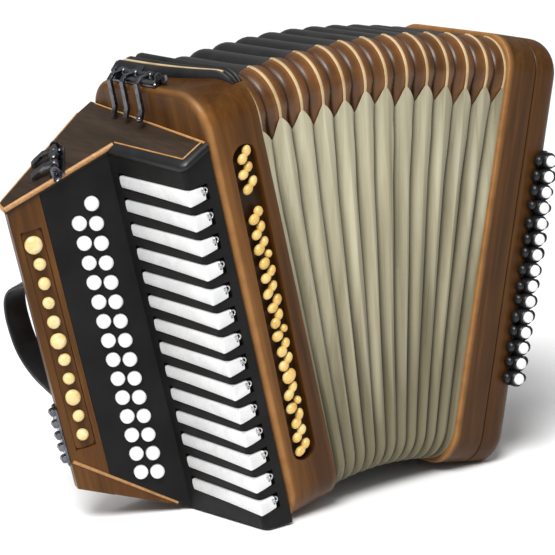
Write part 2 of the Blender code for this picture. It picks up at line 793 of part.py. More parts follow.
# Latches -----------------------------------------------------------------------------------------
LATCH_PIVOT = 0.0065  # height of the pivot over the face that the latch stands on
LATCH_CHEEK = 0.0018
LATCH_PIN_R = 0.0013
FINGER_THICK = 0.0026
TOP_LATCH = {  # on top of the casing, with long fingers that reach down to the lid
    "half": 0.024,
    "finger": [(0.0005, 0.0006), (-0.0105, 0.0012), (-0.0142, -0.0015), (-0.0150, -0.023), (-0.0185, -0.0300)],
    "at": (-0.017, 0.002, 0.0185),
    "wide": 0.0045,
}
LID_LATCH = {  # on the lid, with short fingers
    "half": 0.014,
    "finger": [(0.0005, 0.0006), (-0.0090, 0.0012), (-0.0175, -0.0026), (-0.0205, -0.0045)],
    "at": (-0.0085, 0.0085),
    "wide": 0.006,
}
TOP_LATCH_SPOT = Vector((0.009 - TREBLE_THICK, 0.088 - DEPTH / 2, HEIGHT + GAP))
LID_LATCH_SPOT = Vector((0.064, 0.113))
LID_LATCH_TURN = -38  # degrees from the front-to-back line


def lid_matrix():
    """The lid latch's frame: z out of the lid, and x towards the casing before the turn."""
    x, y = plan(LID_LATCH_SPOT)
    normal = Vector((-0.33, -0.113, 1)).normalized()
    back = (Vector((0, 1, 0.113))).normalized()
    frame = frame_matrix(Vector((x, y, lid_top(*LID_LATCH_SPOT) + GAP)), back.cross(normal), back)
    return frame @ Matrix.Rotation(math.radians(LID_LATCH_TURN), 4, "Z")


def latch_base(latch):
    """A foot plate with two cheeks, each bored for the barrel's pin."""
    long = latch["half"] + 0.004
    plate = box((-0.006, -long, 0), (0.006, long, 0.0015))
    cheeks = []
    for low in (-long + 0.0001, long - 0.0001 - LATCH_CHEEK):
        outline = [(-0.0045, 0.0005), (0.0045, 0.0005)] + arc((0, LATCH_PIVOT), 0.0035, 0, 180, 5)
        cheeks.append(prism([outline], low, low + LATCH_CHEEK, FRONTWARD))
    bore_r = LATCH_PIN_R + BORE_CLEAR
    bore = cylinder(bore_r, bore_r, -0.05, 0.05, 10, FRONTWARD @ Matrix.Translation((0, LATCH_PIVOT, 0)))
    return cut(union(plate, *cheeks), bore)


def latch_lever(latch):
    """A barrel with bent fingers and a thumb tab, about its own axis."""
    half, wide = latch["half"], latch["wide"] / 2
    barrel = cylinder(0.0027, 0.0027, 0.002 - half, half + 0.0015, 8, FRONTWARD)
    pin = cylinder(LATCH_PIN_R, LATCH_PIN_R, -half - 0.0035, half + 0.0038, 8, FRONTWARD)
    outline = ribbon(latch["finger"], FINGER_THICK)
    fingers = [prism([outline], y - wide, y + wide, FRONTWARD) for y in latch["at"]]
    tab = prism([[(-0.0005, -0.001), (0.0052, 0.0036), (0.0045, 0.0050), (-0.0005, 0.0012)]], -0.004, 0.004, FRONTWARD)
    return union(barrel, pin, *fingers, tab)


# Hand strap --------------------------------------------------------------------------------------
STRAP_WIDE = 0.024
STRAP_THICK = 0.0026
STRAP_AT = 0.018  # along the wing's back face from the tip
BUCKLE_THICK = 0.002


def back_matrix():
    """A frame on the wing's back face: x out of the face, y up, z along the face."""
    spot = plan3(TIP_BACK + STRAP_AT * ALONG_BACK, 0)
    return frame_matrix(spot, plan_way(OUT_OF_BACK), (0, 0, 1))


def strap_path():
    """The strap's middle line, as (out of the face, height)."""
    rest = GAP + STRAP_THICK / 2
    low_rest = rest + BUCKLE_THICK + GAP
    return [
        (rest, 0.246), (rest, 0.234), (rest + 0.004, 0.229), (0.015, 0.226), (0.027, 0.221), (0.034, 0.212),
        (0.037, 0.199), (0.037, 0.184), (0.035, 0.170), (0.030, 0.158), (0.022, 0.147),
        (0.013, 0.139), (low_rest + 0.002, 0.133), (low_rest, 0.127), (low_rest, 0.104),
    ]


def hand_strap():
    """A leather band on the back of the wing, standing off for the hand."""
    return prism([ribbon(strap_path(), STRAP_THICK)], -STRAP_WIDE / 2, STRAP_WIDE / 2, back_matrix())


def strap_buckle():
    """A steel plate under the strap's lower end, a bar over the strap, and a chain plate at the tip."""
    wide = STRAP_WIDE / 2
    over = GAP + BUCKLE_THICK + GAP + STRAP_THICK + GAP
    edge = -STRAP_AT - 0.0012  # a little past the tip's back edge
    turn = back_matrix()
    tip = frame_matrix(plan3(TIP_BACK, 0), plan_way(OUT_OF_TIP), (0, 0, 1))  # its z runs to the back
    plate = prism([rounded_box((GAP, 0.092), (GAP + BUCKLE_THICK, 0.130), 0.0005, 1)], edge, wide + 0.004, turn)
    cheeks = [
        prism([rounded_box((GAP + 0.001, 0.110), (over + 0.003, 0.124), 0.002, 2)], low, low + 0.0025, turn)
        for low in (-wide - 0.0034, wide + 0.0009)
    ]
    bar = prism([circle((over + 0.0016, 0.117), 0.0014, 8)], -wide - 0.002, wide + 0.002, turn)
    tip_plate = prism([rounded_box((GAP, 0.079), (GAP + BUCKLE_THICK, 0.1285), 0.0005, 1)], -0.0085, 0.0022, tip)
    lugs = [prism([circle((0.0036, 0.085 + 0.0102 * i), 0.0031, 8)], -0.0075, -0.0015, tip) for i in range(5)]
    return union(plate, *cheeks, bar, tip_plate, *lugs)


# Bellows -----------------------------------------------------------------------------------------
def fold():
    """One fold: a ring with a chevron section, ridge outwards."""
    half = DEPTH / 2 - BELLOWS_INSET
    path = rounded_box((-half, BELLOWS_INSET), (half, HEIGHT - BELLOWS_DROP), CORNER_R)
    ridge, lip, edge = 0.0009, 0.0030, 0.0044
    section = [
        (0, -ridge), (0, ridge), (FOLD_DEEP, edge), (FOLD_DEEP, lip),
        (0.0025, 0), (FOLD_DEEP, -lip), (FOLD_DEEP, -edge),
    ]
    return sweep_ring(path, section)


def turn_y(angle):
    return Matrix.Rotation(angle, 4, "Y")


def rest_matrices():
    """The treble frame, and the angle that each fold turns by.

    The treble casing stands on its outer bottom edge, and the bass side on its round one. The line
    from that edge to the round one's centre rises by the radius. Both are then cut off level.
    """
    joints = FOLDS + 1
    step = FAN_ANGLE / joints
    chain = Matrix.Identity(4)
    for _ in range(joints):
        chain = chain @ Matrix.Translation((FOLD_PITCH / 2, 0, 0)) @ turn_y(step)
        chain = chain @ Matrix.Translation((FOLD_PITCH / 2, 0, 0))
    treble_foot = Vector((-TREBLE_THICK, 0, 0))
    bass_centre = chain @ Vector((BASS_THICK - BASS_ROUND, 0, BASS_ROUND))
    between = bass_centre - treble_foot
    level = turn_y(math.atan2(between.z, between.x) - math.asin(BASS_ROUND / between.length))
    middle = level @ (treble_foot + bass_centre) / 2
    lift = -FOOT_CUT - (level @ treble_foot).z
    return Matrix.Translation((CENTRE_SHIFT[0] - middle.x, CENTRE_SHIFT[1], lift)) @ level, step


def ground(matrix):
    """A block under the ground, in the frame that a casing is built in."""
    block = box((-1, -1, -0.1), (1, 1, 0))
    block.data.transform(matrix.inverted())
    return block


# Assembly ----------------------------------------------------------------------------------------
def row(piece, material, spots):
    """The piece at the first spot, and its twins at the others. A spot is (name, parent, location)."""
    name, parent, location = spots[0]
    place(piece, name, material, parent, location)
    for name, parent, location in spots[1:]:
        copy_of(piece, name, parent, location)


def add_treble_body(paint, frame, matrix):
    wood, black = paint["walnut"], paint["black_lacquer"]
    place(cut(treble_casing(), ground(matrix)), "treble_casing", wood, frame)
    place(bead_strip(), "bead_strip", paint["gold_bead"], frame)
    reed_spot = (PLATE_THICK + GAP - TREBLE_THICK, REED_AT_F, REED_LOW)
    place(reed_block(TREBLE_REED_TALL), "treble_reed_block", paint["reed_wood"], frame, reed_spot)
    place(keyboard_wing(), "keyboard_wing", wood, frame)
    place(fingerboard(), "fingerboard", black, frame)
    place(wing_lid(), "wing_lid", paint["dark_veneer"], frame)
    place(stud_strip(), "stud_strip", paint["cream_pearl"], frame)
    place(key_axle(), "key_axle", paint["steel"], frame, round_edges=True)
    place(hand_strap(), "hand_strap", paint["black_leather"], frame)
    place(strap_buckle(), "strap_buckle", paint["steel"], frame)


def add_keys_and_buttons(paint, frame):
    ivory = paint["ivory"]
    numbers = range(1, KEYS + 1)
    row(key_piece(), ivory, [(f"key_{n:02d}", frame, plan3(KEY_AXLE, hub_height(n))) for n in numbers])
    top, *others = [
        empty(f"button_frame_{n:02d}", frame, board_matrix(0, pair_height(n))) for n in range(1, BUTTON_PAIRS + 1)
    ]
    pair = [(0, 0), (1, BUTTON_STAGGER)]
    place(button_set([(0, BUTTON_PITCH), *pair]), "button_set_01", ivory, top)
    row(button_set(pair), ivory, [(f"button_pair_{n:02d}", f, (0, 0, 0)) for n, f in enumerate(others, 2)])


def add_latches(paint, frame):
    metal = paint["black_metal"]
    for label, latch, matrix in (
        ("top", TOP_LATCH, Matrix.Translation(TOP_LATCH_SPOT)),
        ("lid", LID_LATCH, lid_matrix()),
    ):
        stand = empty(f"{label}_latch_frame", frame, matrix)
        place(latch_base(latch), f"{label}_latch_base", metal, stand)
        place(latch_lever(latch), f"{label}_latch_lever", metal, stand, (0, 0, LATCH_PIVOT))


def add_bellows(paint, frame, step):
    """Hangs each fold on the one before it. The last hinge carries the bass side, and is returned."""
    hinges = [frame]
    for number in range(1, FOLDS + 2):
        along = FOLD_PITCH if hinges[1:] else FOLD_PITCH / 2
        turn = Matrix.Translation((along, 0, 0)) @ turn_y(step)
        hinges.append(empty(f"fold_hinge_{number:02d}", hinges[-1], turn))
    middle = (FOLD_PITCH / 2, 0, 0)
    folds = [(f"fold_{number:02d}", hinges[number], middle) for number in range(1, FOLDS + 1)]
    row(fold(), paint["bellows_cloth"], folds)
    return hinges[-1]


def add_bass_side(paint, frame):
    wood = paint["walnut"]
    bpy.context.view_layer.update()
    place(bass_casing(), "bass_casing", wood, frame)
    place(cut(bass_end_cover(), ground(frame.matrix_world)), "bass_end_cover", wood, frame)
    place(bass_rail(), "bass_button_rail", paint["black_lacquer"], frame)
    reed_spot = (BASS_SPLIT - PLATE_THICK - GAP - BASS_REED_TALL, -REED_AT_F, REED_LOW)
    place(reed_block(BASS_REED_TALL), "bass_reed_block", paint["reed_wood"], frame, reed_spot)
    groups = [(f"bass_buttons_{g + 1}", frame, (0, 0, bass_positions(g)[0])) for g in range(BASS_GROUPS)]
    row(bass_button_group(), paint["ivory"], groups)


def build():
    for obj in list(bpy.data.objects):
        bpy.data.objects.remove(obj)
    bpy.context.scene.collection.children.link(bpy.data.collections.new("accordion"))
    paint = make_materials()
    matrix, step = rest_matrices()
    treble = empty("treble_frame", None, matrix)
    add_treble_body(paint, treble, matrix)
    add_keys_and_buttons(paint, treble)
    add_latches(paint, treble)
    last_hinge = add_bellows(paint, treble, step)
    add_bass_side(paint, empty("bass_frame", last_hinge, Matrix.Translation((FOLD_PITCH / 2, 0, 0))))
    bpy.context.view_layer.update()


build()
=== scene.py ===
"""Looks of the fan-opened accordion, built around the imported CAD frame.

Metres, in the frame of the CAD. Most pieces are made in the treble casing's frame TREBLE or the bass
casing's frame BASS, with (a, f, w) on the treble side: out from the casing, back from its front, and up.
"""

import math
import random

import bmesh
import bpy
from mathutils import Matrix, Vector, noise
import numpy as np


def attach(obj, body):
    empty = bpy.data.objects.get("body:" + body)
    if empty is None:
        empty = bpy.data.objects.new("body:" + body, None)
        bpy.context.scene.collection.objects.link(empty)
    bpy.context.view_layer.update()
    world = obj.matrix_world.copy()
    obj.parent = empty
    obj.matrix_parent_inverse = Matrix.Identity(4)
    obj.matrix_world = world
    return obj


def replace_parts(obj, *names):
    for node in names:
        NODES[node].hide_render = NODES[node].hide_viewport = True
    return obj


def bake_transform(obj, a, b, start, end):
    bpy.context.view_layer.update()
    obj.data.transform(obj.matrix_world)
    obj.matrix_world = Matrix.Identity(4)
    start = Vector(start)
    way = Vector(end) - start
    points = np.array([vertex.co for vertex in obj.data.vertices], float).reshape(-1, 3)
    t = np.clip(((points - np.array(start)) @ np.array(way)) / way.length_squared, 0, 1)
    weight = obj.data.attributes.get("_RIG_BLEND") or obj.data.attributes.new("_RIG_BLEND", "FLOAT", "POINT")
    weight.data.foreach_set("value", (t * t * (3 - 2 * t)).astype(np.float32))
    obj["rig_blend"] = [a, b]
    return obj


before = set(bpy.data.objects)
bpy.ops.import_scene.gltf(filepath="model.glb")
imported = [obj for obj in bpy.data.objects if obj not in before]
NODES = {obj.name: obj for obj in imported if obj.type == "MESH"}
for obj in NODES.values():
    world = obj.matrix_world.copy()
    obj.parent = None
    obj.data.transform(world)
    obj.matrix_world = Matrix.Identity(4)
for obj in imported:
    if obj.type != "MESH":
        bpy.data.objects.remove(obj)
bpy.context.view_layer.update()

# Dimensions that the CAD was built to -------------------------------------------------------------
HEIGHT, DEPTH = 0.360, 0.150
TREBLE_THICK, BASS_THICK = 0.050, 0.060
CORNER_R, WALL, GAP = 0.030, 0.006, 0.0003
FOLDS, FOLD_PITCH, FAN_ANGLE = 11, 0.00975, math.radians(24.8)
BELLOWS_INSET, BELLOWS_DROP = 0.003, 0.004
CENTRE_SHIFT = (0.0459, -0.0041)
BASS_ROUND, FOOT_CUT, BASS_SPLIT = 0.014, 0.0025, 0.031
KEYS, KEY_PITCH, KEY_LOW, KEY_PROUD, KEY_HALF = 14, 0.020, 0.0290, 0.002, 0.0059
KEY_END = 0.0135  # where a key ends on the front wall, out from the casing
KEY_SLOPE = 0.09  # how steeply a key rises from the front corner to the valley
KEY_FACE = 0.0765  # a key's length from the front corner to the valley
LID_FALL, LID_FALL_BACK = 0.33, 0.113  # how steeply the lid falls, outwards and towards the front
BUTTON_PAIRS, BUTTON_PITCH, BUTTON_LOW, BUTTON_STAGGER = 14, 0.0165, 0.0520, 0.004
BUTTON_COLUMNS, BUTTON_R, BUTTON_PROUD = (0.0205, 0.0335), 0.0058, 0.0045
BASS_GROUPS, BASS_PER_GROUP, BASS_PITCH, BASS_LOW = 3, 5, 0.0131, 0.079
BASS_BUTTON_R, BASS_BUTTON_PROUD = 0.0048, 0.0055
FRONT_F = 0.002
CORNER, VALLEY, TIP = Vector((0.027, FRONT_F)), Vector((0.035, 0.088)), Vector((0.115, 0.118))
TIP_BACK, BACK = Vector((0.112, 0.127)), Vector((0.014, 0.148))
LID_THICK, LID_OVERHANG = 0.005, 0.0015
ALONG_KEYS = (VALLEY - CORNER).normalized()
OUT_OF_KEYS = Vector((ALONG_KEYS.y, -ALONG_KEYS.x))
ALONG_BOARD = (TIP - VALLEY).normalized()
OUT_OF_BOARD = Vector((ALONG_BOARD.y, -ALONG_BOARD.x))
ALONG_BACK = (BACK - TIP_BACK).normalized()
OUT_OF_BACK = Vector((ALONG_BACK.y, -ALONG_BACK.x))
BEAD_SLOT = (-0.037, -0.015, 0.050, 0.312)
BEAD_ROWS, MISSING_ROW, BIG_ROW, UNEVEN_ROWS = 21, 17, 5, (3, 8, 13)  # counted from the slot's foot
STUD_S, STUD_W, STUD_DEEP, STUDS = (0.0625, 0.0795), (0.090, 0.276), 0.003, 11
BIG_STUD, MIDDLE_STUDS = 10, (2, 5)  # counted from the strip's foot
RAIL_X, RAIL_Y, RAIL_W = (0.043, 0.063), (-0.082, -0.066), (0.070, 0.272)
LATCH_PIVOT = 0.0065
STRAP_AT, STRAP_WIDE, STRAP_THICK = 0.018, 0.024, 0.0026


def turn_y(angle):
    return Matrix.Rotation(angle, 4, "Y")


def slide_x(distance):
    return Matrix.Translation((distance, 0, 0))


def rest_frames():
    """The treble casing's frame, and the angle between one fold and the next."""
    joints = FOLDS + 1
    step = FAN_ANGLE / joints
    chain = Matrix.Identity(4)
    for _ in range(joints):
        chain = chain @ slide_x(FOLD_PITCH / 2) @ turn_y(step) @ slide_x(FOLD_PITCH / 2)
    treble_foot = Vector((-TREBLE_THICK, 0, 0))
    bass_centre = chain @ Vector((BASS_THICK - BASS_ROUND, 0, BASS_ROUND))
    between = bass_centre - treble_foot
    level = turn_y(math.atan2(between.z, between.x) - math.asin(BASS_ROUND / between.length))
    middle = level @ (treble_foot + bass_centre) / 2
    lift = -FOOT_CUT - (level @ treble_foot).z
    return Matrix.Translation((CENTRE_SHIFT[0] - middle.x, CENTRE_SHIFT[1], lift)) @ level, step


TREBLE, STEP = rest_frames()
RIDGES = [TREBLE]  # the frame of each ridge: the casing's open side, the folds, the bass side's open side
for _ in range(FOLDS + 1):
    RIDGES.append(RIDGES[-1] @ slide_x(FOLD_PITCH / 2) @ turn_y(STEP) @ slide_x(FOLD_PITCH / 2))
BASS = RIDGES[-1]
RIDERS = ["treble"] + [f"fold_{n:02d}" for n in range(1, FOLDS + 1)] + ["bass"]
TREBLE_LEAN = math.atan2(TREBLE[0][2], TREBLE[2][2])
BASS_LEAN = math.atan2(BASS[0][2], BASS[2][2])


def plan(point, w):
    """(a, f) and a height as a point of the treble frame."""
    return Vector((-TREBLE_THICK - point[0], point[1] - DEPTH / 2, w))


def plan_way(direction):
    return Vector((-direction[0], direction[1], 0))


def lid_top(a, f):
    return HEIGHT - (0.0185 + LID_FALL * a + LID_FALL_BACK * (DEPTH - f))


def past_valley(a, f):
    return max(0, (Vector((a, f)) - VALLEY).dot(ALONG_BOARD))


def board_bottom(a, f):
    return 0.0045 + 0.21 * a + 0.65 * past_valley(a, f)


def frame_matrix(place, x_axis, y_axis):
    x_axis, y_axis = Vector(x_axis).normalized(), Vector(y_axis).normalized()
    turn = Matrix((x_axis, y_axis, x_axis.cross(y_axis))).transposed().to_4x4()
    return Matrix.Translation(place) @ turn


def board_matrix(s, height):
    """A spot on the button board, s along it from the valley, with z out of the board."""
    way = plan_way(OUT_OF_BOARD)
    return frame_matrix(plan(VALLEY + s * ALONG_BOARD, height), (0, 0, 1), way.cross(Vector((0, 0, 1))))


# Mesh helpers ------------------------------------------------------------------------------------
def new_object(name, mesh, *materials):
    obj = bpy.data.objects.new(name, mesh)
    bpy.context.scene.collection.objects.link(obj)
    for material in materials:
        mesh.materials.append(material)
    return obj


def finish_mesh(name, bm, materials, sharp=40):
    """A bmesh as an object, with its faces turned outwards and smooth up to the sharp angle."""
    bmesh.ops.recalc_face_normals(bm, faces=bm.faces)
    mesh = bpy.data.meshes.new(name)
    bm.to_mesh(mesh)
    bm.free()
    mesh.shade_smooth()
    mesh.set_sharp_from_angle(angle=math.radians(sharp))
    return new_object(name, mesh, *materials)


def add_loops(bm, loops, caps=True, closed=False, index=0):
    """Skins a list of closed loops of points into bm, and returns the rings of vertices."""
    rings = [[bm.verts.new(p) for p in loop] for loop in loops]
    pairs = list(zip(rings, rings[1:])) + ([(rings[-1], rings[0])] if closed else [])
    faces = []
    for one, two in pairs:
        for i in range(len(one)):
            j = (i + 1) % len(one)
            faces.append(bm.faces.new((one[i], one[j], two[j], two[i])))
    if caps and not closed:
        faces += [bm.faces.new(rings[0]), bm.faces.new(rings[-1])]
    for face in faces:
        face.material_index = index
    return rings


def add_lathe(bm, matrix, profile, segments=24, index=0):
    """Turns (radius, z) points round z. The first and last radius may be 0."""
    loops = []
    for radius, z in profile:
        radius = max(radius, 1e-5)
        loops.append([
            matrix @ Vector((radius * math.cos(t), radius * math.sin(t), z))
            for t in (math.tau * i / segments for i in range(segments))
        ])
    return add_loops(bm, loops, index=index)


def add_ball(bm, matrix, radii, segments=16, rows=9, index=0):
    """An ellipsoid."""
    loops = []
    for j in range(rows + 1):
        t = math.pi * (j + 0.02) / (rows + 0.04)
        loops.append([
            matrix @ Vector((
                radii[0] * math.sin(t) * math.cos(math.tau * i / segments),
                radii[1] * math.sin(t) * math.sin(math.tau * i / segments),
                -radii[2] * math.cos(t)))
            for i in range(segments)
        ])
    return add_loops(bm, loops, index=index)


def path_frames(points, up):
    """At each point of a path: the point, its side direction and its own up, square to the path."""
    found = []
    for i, here in enumerate(points):
        way = (points[min(i + 1, len(points) - 1)] - points[max(i - 1, 0)]).normalized()
        side = way.cross(up(i) if callable(up) else up).normalized()
        found.append((here, side, side.cross(way).normalized()))
    return found


def add_sweep(bm, points, section, up, closed=False, index=0):
    """Carries a section of (side, up) points along a path. section may be a function of the place."""
    loops = []
    frames = path_frames(points, up)
    for i, (here, side, over) in enumerate(frames):
        shape = section(i / max(1, len(frames) - 1)) if callable(section) else section
        loops.append([here + side * x + over * y for x, y in shape])
    return add_loops(bm, loops, closed=closed, index=index)


def oval(wide, tall, steps=10):
    return [(wide * math.cos(t), tall * math.sin(t)) for t in (math.tau * i / steps for i in range(steps))]


def add_torus(bm, matrix, big, small, segments=18, sides=8, index=0):
    loops = []
    for i in range(segments):
        t = math.tau * i / segments
        centre = Vector((big * math.cos(t), big * math.sin(t), 0))
        out = centre.normalized()
        loops.append([
            matrix @ (centre + out * small * math.cos(s) + Vector((0, 0, small * math.sin(s))))
            for s in (math.tau * k / sides for k in range(sides))
        ])
    return add_loops(bm, loops, closed=True, index=index)


def smooth_path(points, per=6):
    """A Catmull-Rom curve through the points."""
    points = [Vector(p) for p in points]
    full = [2 * points[0] - points[1]] + points + [2 * points[-1] - points[-2]]
    found = []
    for a, b, c, d in zip(full, full[1:], full[2:], full[3:]):
        for i in range(per):
            t = i / per
            found.append(0.5 * (2 * b + (c - a) * t + (2 * a - 5 * b + 4 * c - d) * t ** 2
                                + (3 * b - a - 3 * c + d) * t ** 3))
    return found + [points[-1]]


def arc(centre, radius, start, end, steps):
    angles = [math.radians(start + (end - start) * i / steps) for i in range(steps + 1)]
    return [Vector((centre[0] + radius * math.cos(t), centre[1] + radius * math.sin(t))) for t in angles]


def rounded_box(low, high, radius, steps=10):
    x0, y0, x1, y1 = low[0] + radius, low[1] + radius, high[0] - radius, high[1] - radius
    corners = (((x1, y1), 0), ((x0, y1), 90), ((x0, y0), 180), ((x1, y0), 270))
    return [p for centre, start in corners for p in arc(centre, radius, start, start + 90, steps)]


def store(obj, name, values):
    """A number at every vertex."""
    layer = obj.data.attributes.new(name, "FLOAT", "POINT")
    layer.data.foreach_set("value", values)


def paint_attribute(obj, name, value_at):
    """A number at every vertex, from its place."""
    store(obj, name, [value_at(v.co) for v in obj.data.vertices])


def bake(obj):
    """Replaces the object's mesh with what its modifiers make of it."""
    bpy.context.view_layer.update()
    graph = bpy.context.evaluated_depsgraph_get()
    mesh = bpy.data.meshes.new_from_object(obj.evaluated_get(graph))
    obj.modifiers.clear()
    obj.data = mesh
    return obj


# Materials ---------------------------------------------------------------------------------------
class Paint:
    """A Principled material with short calls for the nodes that feed it."""

    def __init__(self, name, roughness=0.5, metallic=0.0, specular=0.5, **sockets):
        self.material = bpy.data.materials.new(name)
        self.material.use_nodes = True
        self.tree = self.material.node_tree
        self.shader = self.tree.nodes["Principled BSDF"]
        for label, value in {"Roughness": roughness, "Metallic": metallic,
                             "Specular IOR Level": specular, **sockets}.items():
            self.shader.inputs[label].default_value = value
        self.place = self.add("ShaderNodeTexCoord").outputs["Object"]

    def add(self, kind, inputs=(), **settings):
        node = self.tree.nodes.new(kind)
        for key, value in settings.items():
            setattr(node, key, value)
        for key, value in dict(inputs).items():
            if isinstance(value, bpy.types.NodeSocket):
                self.tree.links.new(value, node.inputs[key])
            else:
                node.inputs[key].default_value = value
        return node

    def mapped(self, scale=(1, 1, 1), lean=0.0):
        """Object coordinates turned by the lean about Y, so that z runs up a leaning casing, then scaled."""
        turned = self.add("ShaderNodeVectorRotate", {"Vector": self.place, "Angle": -lean},
                          rotation_type="Y_AXIS")
        return self.add("ShaderNodeMapping", {"Vector": turned.outputs[0], "Scale": scale}).outputs[0]

    def noise(self, where, scale, detail=4.0, rough=0.55, distortion=0.0):
        return self.add("ShaderNodeTexNoise", {
            "Vector": where, "Scale": scale, "Detail": detail, "Roughness": rough, "Distortion": distortion,
        }).outputs["Fac"]

    def ramp(self, value, *stops):
        """Colours or greys at places from 0 to 1."""
        node = self.add("ShaderNodeValToRGB", {"Fac": value})
        steps = node.color_ramp.elements
        while len(steps) < len(stops):
            steps.new(0.5)
        for step, (at, colour) in zip(steps, stops):
            step.position = at
            step.color = (*colour, 1) if hasattr(colour, "__len__") else (colour,) * 3 + (1,)
        return node.outputs["Color"]

    def mix(self, factor, one, two, kind="MIX"):
        node = self.add("ShaderNodeMix", data_type="RGBA", blend_type=kind)
        for socket, value in ((node.inputs[0], factor), (node.inputs[6], one), (node.inputs[7], two)):
            if isinstance(value, bpy.types.NodeSocket):
                self.tree.links.new(value, socket)
            else:
                socket.default_value = (*value, 1) if hasattr(value, "__len__") else value
        return node.outputs[2]

    def math(self, operation, one, two=0.0, clamp=False):
        return self.add("ShaderNodeMath", {0: one, 1: two}, operation=operation, use_clamp=clamp).outputs[0]

    def attribute(self, name):
        return self.add("ShaderNodeAttribute", attribute_name=name).outputs["Fac"]

    def bump(self, height, strength, distance, under=None):
        inputs = {"Height": height, "Strength": strength, "Distance": distance}
        if under is not None:
            inputs["Normal"] = under
        return self.add("ShaderNodeBump", inputs).outputs[0]

    def gloss(self, value, low, high):
        """A roughness between two values."""
        return self.ramp(value, (0.3, low), (0.7, high))

    def done(self, colour=None, roughness=None, normal=None):
        for label, value in (("Base Color", colour), ("Roughness", roughness), ("Normal", normal)):
            if isinstance(value, bpy.types.NodeSocket):
                self.tree.links.new(value, self.shader.inputs[label])
            elif value is not None:
                self.shader.inputs[label].default_value = (*value, 1) if hasattr(value, "__len__") else value
        return self.material


def wood(name, deep, mid, light, worn, lean, across=(1, 1, 0.07), rough=(0.34, 0.50), coat=0.05):
    """Varnished wood: long grain with darker figure, fine pores, and worn, paler edges."""
    p = Paint(name, specular=0.14, **{"Coat Weight": coat, "Coat Roughness": 0.2})
    along = p.mapped(across, lean)
    figure = p.noise(along, 26, 5, 0.6, 1.4)
    streak = p.noise(along, 210, 3, 0.6, 0.3)
    pores = p.noise(along, 1150, 2, 0.6)
    broad = p.noise(p.place, 9, 3, 0.5)
    base = p.ramp(figure, (0.28, deep), (0.50, mid), (0.74, light))
    base = p.mix(p.ramp(streak, (0.35, 0.0), (0.70, 0.55)), base, tuple(c * 0.55 for c in deep))
    base = p.mix(p.ramp(broad, (0.35, 0.0), (0.7, 0.45)), base, tuple(c * 0.6 for c in mid))
    edge = p.math("MULTIPLY", p.attribute("wear_and_sheen"), p.ramp(p.noise(p.place, 70, 3), (0.2, 0.55), (0.6, 1.0)))
    base = p.mix(edge, base, worn)
    shade = p.math("MULTIPLY", p.attribute("shade"), 0.85)
    base = p.mix(shade, base, tuple(c * 0.22 for c in deep))
    gloss = p.gloss(p.noise(p.place, 38, 4), *rough)
    height = p.mix(0.6, streak, pores)
    return p.done(base, gloss, p.bump(height, 0.16, 0.0004))


def trim_wood():
    p = Paint("pale_trim", specular=0.3)
    grain = p.noise(p.mapped((1, 0.2, 1)), 420, 4)
    colour = p.ramp(grain, (0.25, (0.27, 0.125, 0.040)), (0.75, (0.47, 0.255, 0.100)))
    return p.done(colour, p.gloss(grain, 0.35, 0.5), p.bump(grain, 0.15, 0.0003))


def lacquer():
    p = Paint("black_lacquer_fine", specular=0.14)
    cloud = p.noise(p.place, 30, 4)
    fine = p.noise(p.place, 900, 3)
    colour = p.ramp(cloud, (0.3, (0.0038, 0.0037, 0.0036)), (0.7, (0.0085, 0.0082, 0.0080)))
    return p.done(colour, p.gloss(p.noise(p.place, 75, 5), 0.36, 0.52), p.bump(fine, 0.05, 0.0002))


def lid_veneer():
    p = Paint("lid_veneer_fine", specular=0.15)
    along = p.mapped((1, 0.08, 1), 0.3)
    figure = p.noise(along, 60, 5, 0.6, 0.8)
    streak = p.noise(along, 420, 3)
    colour = p.ramp(figure, (0.3, (0.020, 0.0125, 0.0075)), (0.7, (0.040, 0.0265, 0.0165)))
    colour = p.mix(p.ramp(streak, (0.4, 0.0), (0.75, 0.5)), colour, (0.012, 0.008, 0.006))
    return p.done(colour, p.gloss(figure, 0.42, 0.55), p.bump(streak, 0.12, 0.0003))


def ivory(name, tint=(0.74, 0.74, 0.735), deep=(0.60, 0.605, 0.61)):
    p = Paint(name, specular=0.4, **{"Coat Weight": 0.3, "Coat Roughness": 0.12,
                                     "Subsurface Weight": 0.08, "Subsurface Scale": 0.002})
    cloud = p.noise(p.place, 55, 4, 0.5, 0.6)
    fine = p.noise(p.mapped((0.3, 1, 1)), 600, 3)
    colour = p.ramp(cloud, (0.25, deep), (0.62, tint))
    # painted shade from the shade attribute, on the keys
    colour = p.mix(p.math("MULTIPLY", p.attribute("shade"), 0.9), colour, tuple(c * 0.34 for c in deep))
    return p.done(colour, p.gloss(fine, 0.24, 0.36), p.bump(fine, 0.03, 0.0002))


def polished(name, stops, cloud_size, gloss, grain, coat, subsurface):
    """A polished bead or stud: clouded colour under a thin coat, with a fine uneven surface."""
    p = Paint(name, **{"Coat Weight": coat[0], "Coat Roughness": coat[1],
                       "Subsurface Weight": subsurface, "Subsurface Scale": 0.002})
    cloud = p.noise(p.place, *cloud_size)
    colour = p.ramp(cloud, *stops)
    size, detail, strength, distance = grain
    return p.done(colour, p.gloss(cloud, *gloss), p.bump(p.noise(p.place, size, detail), strength, distance))


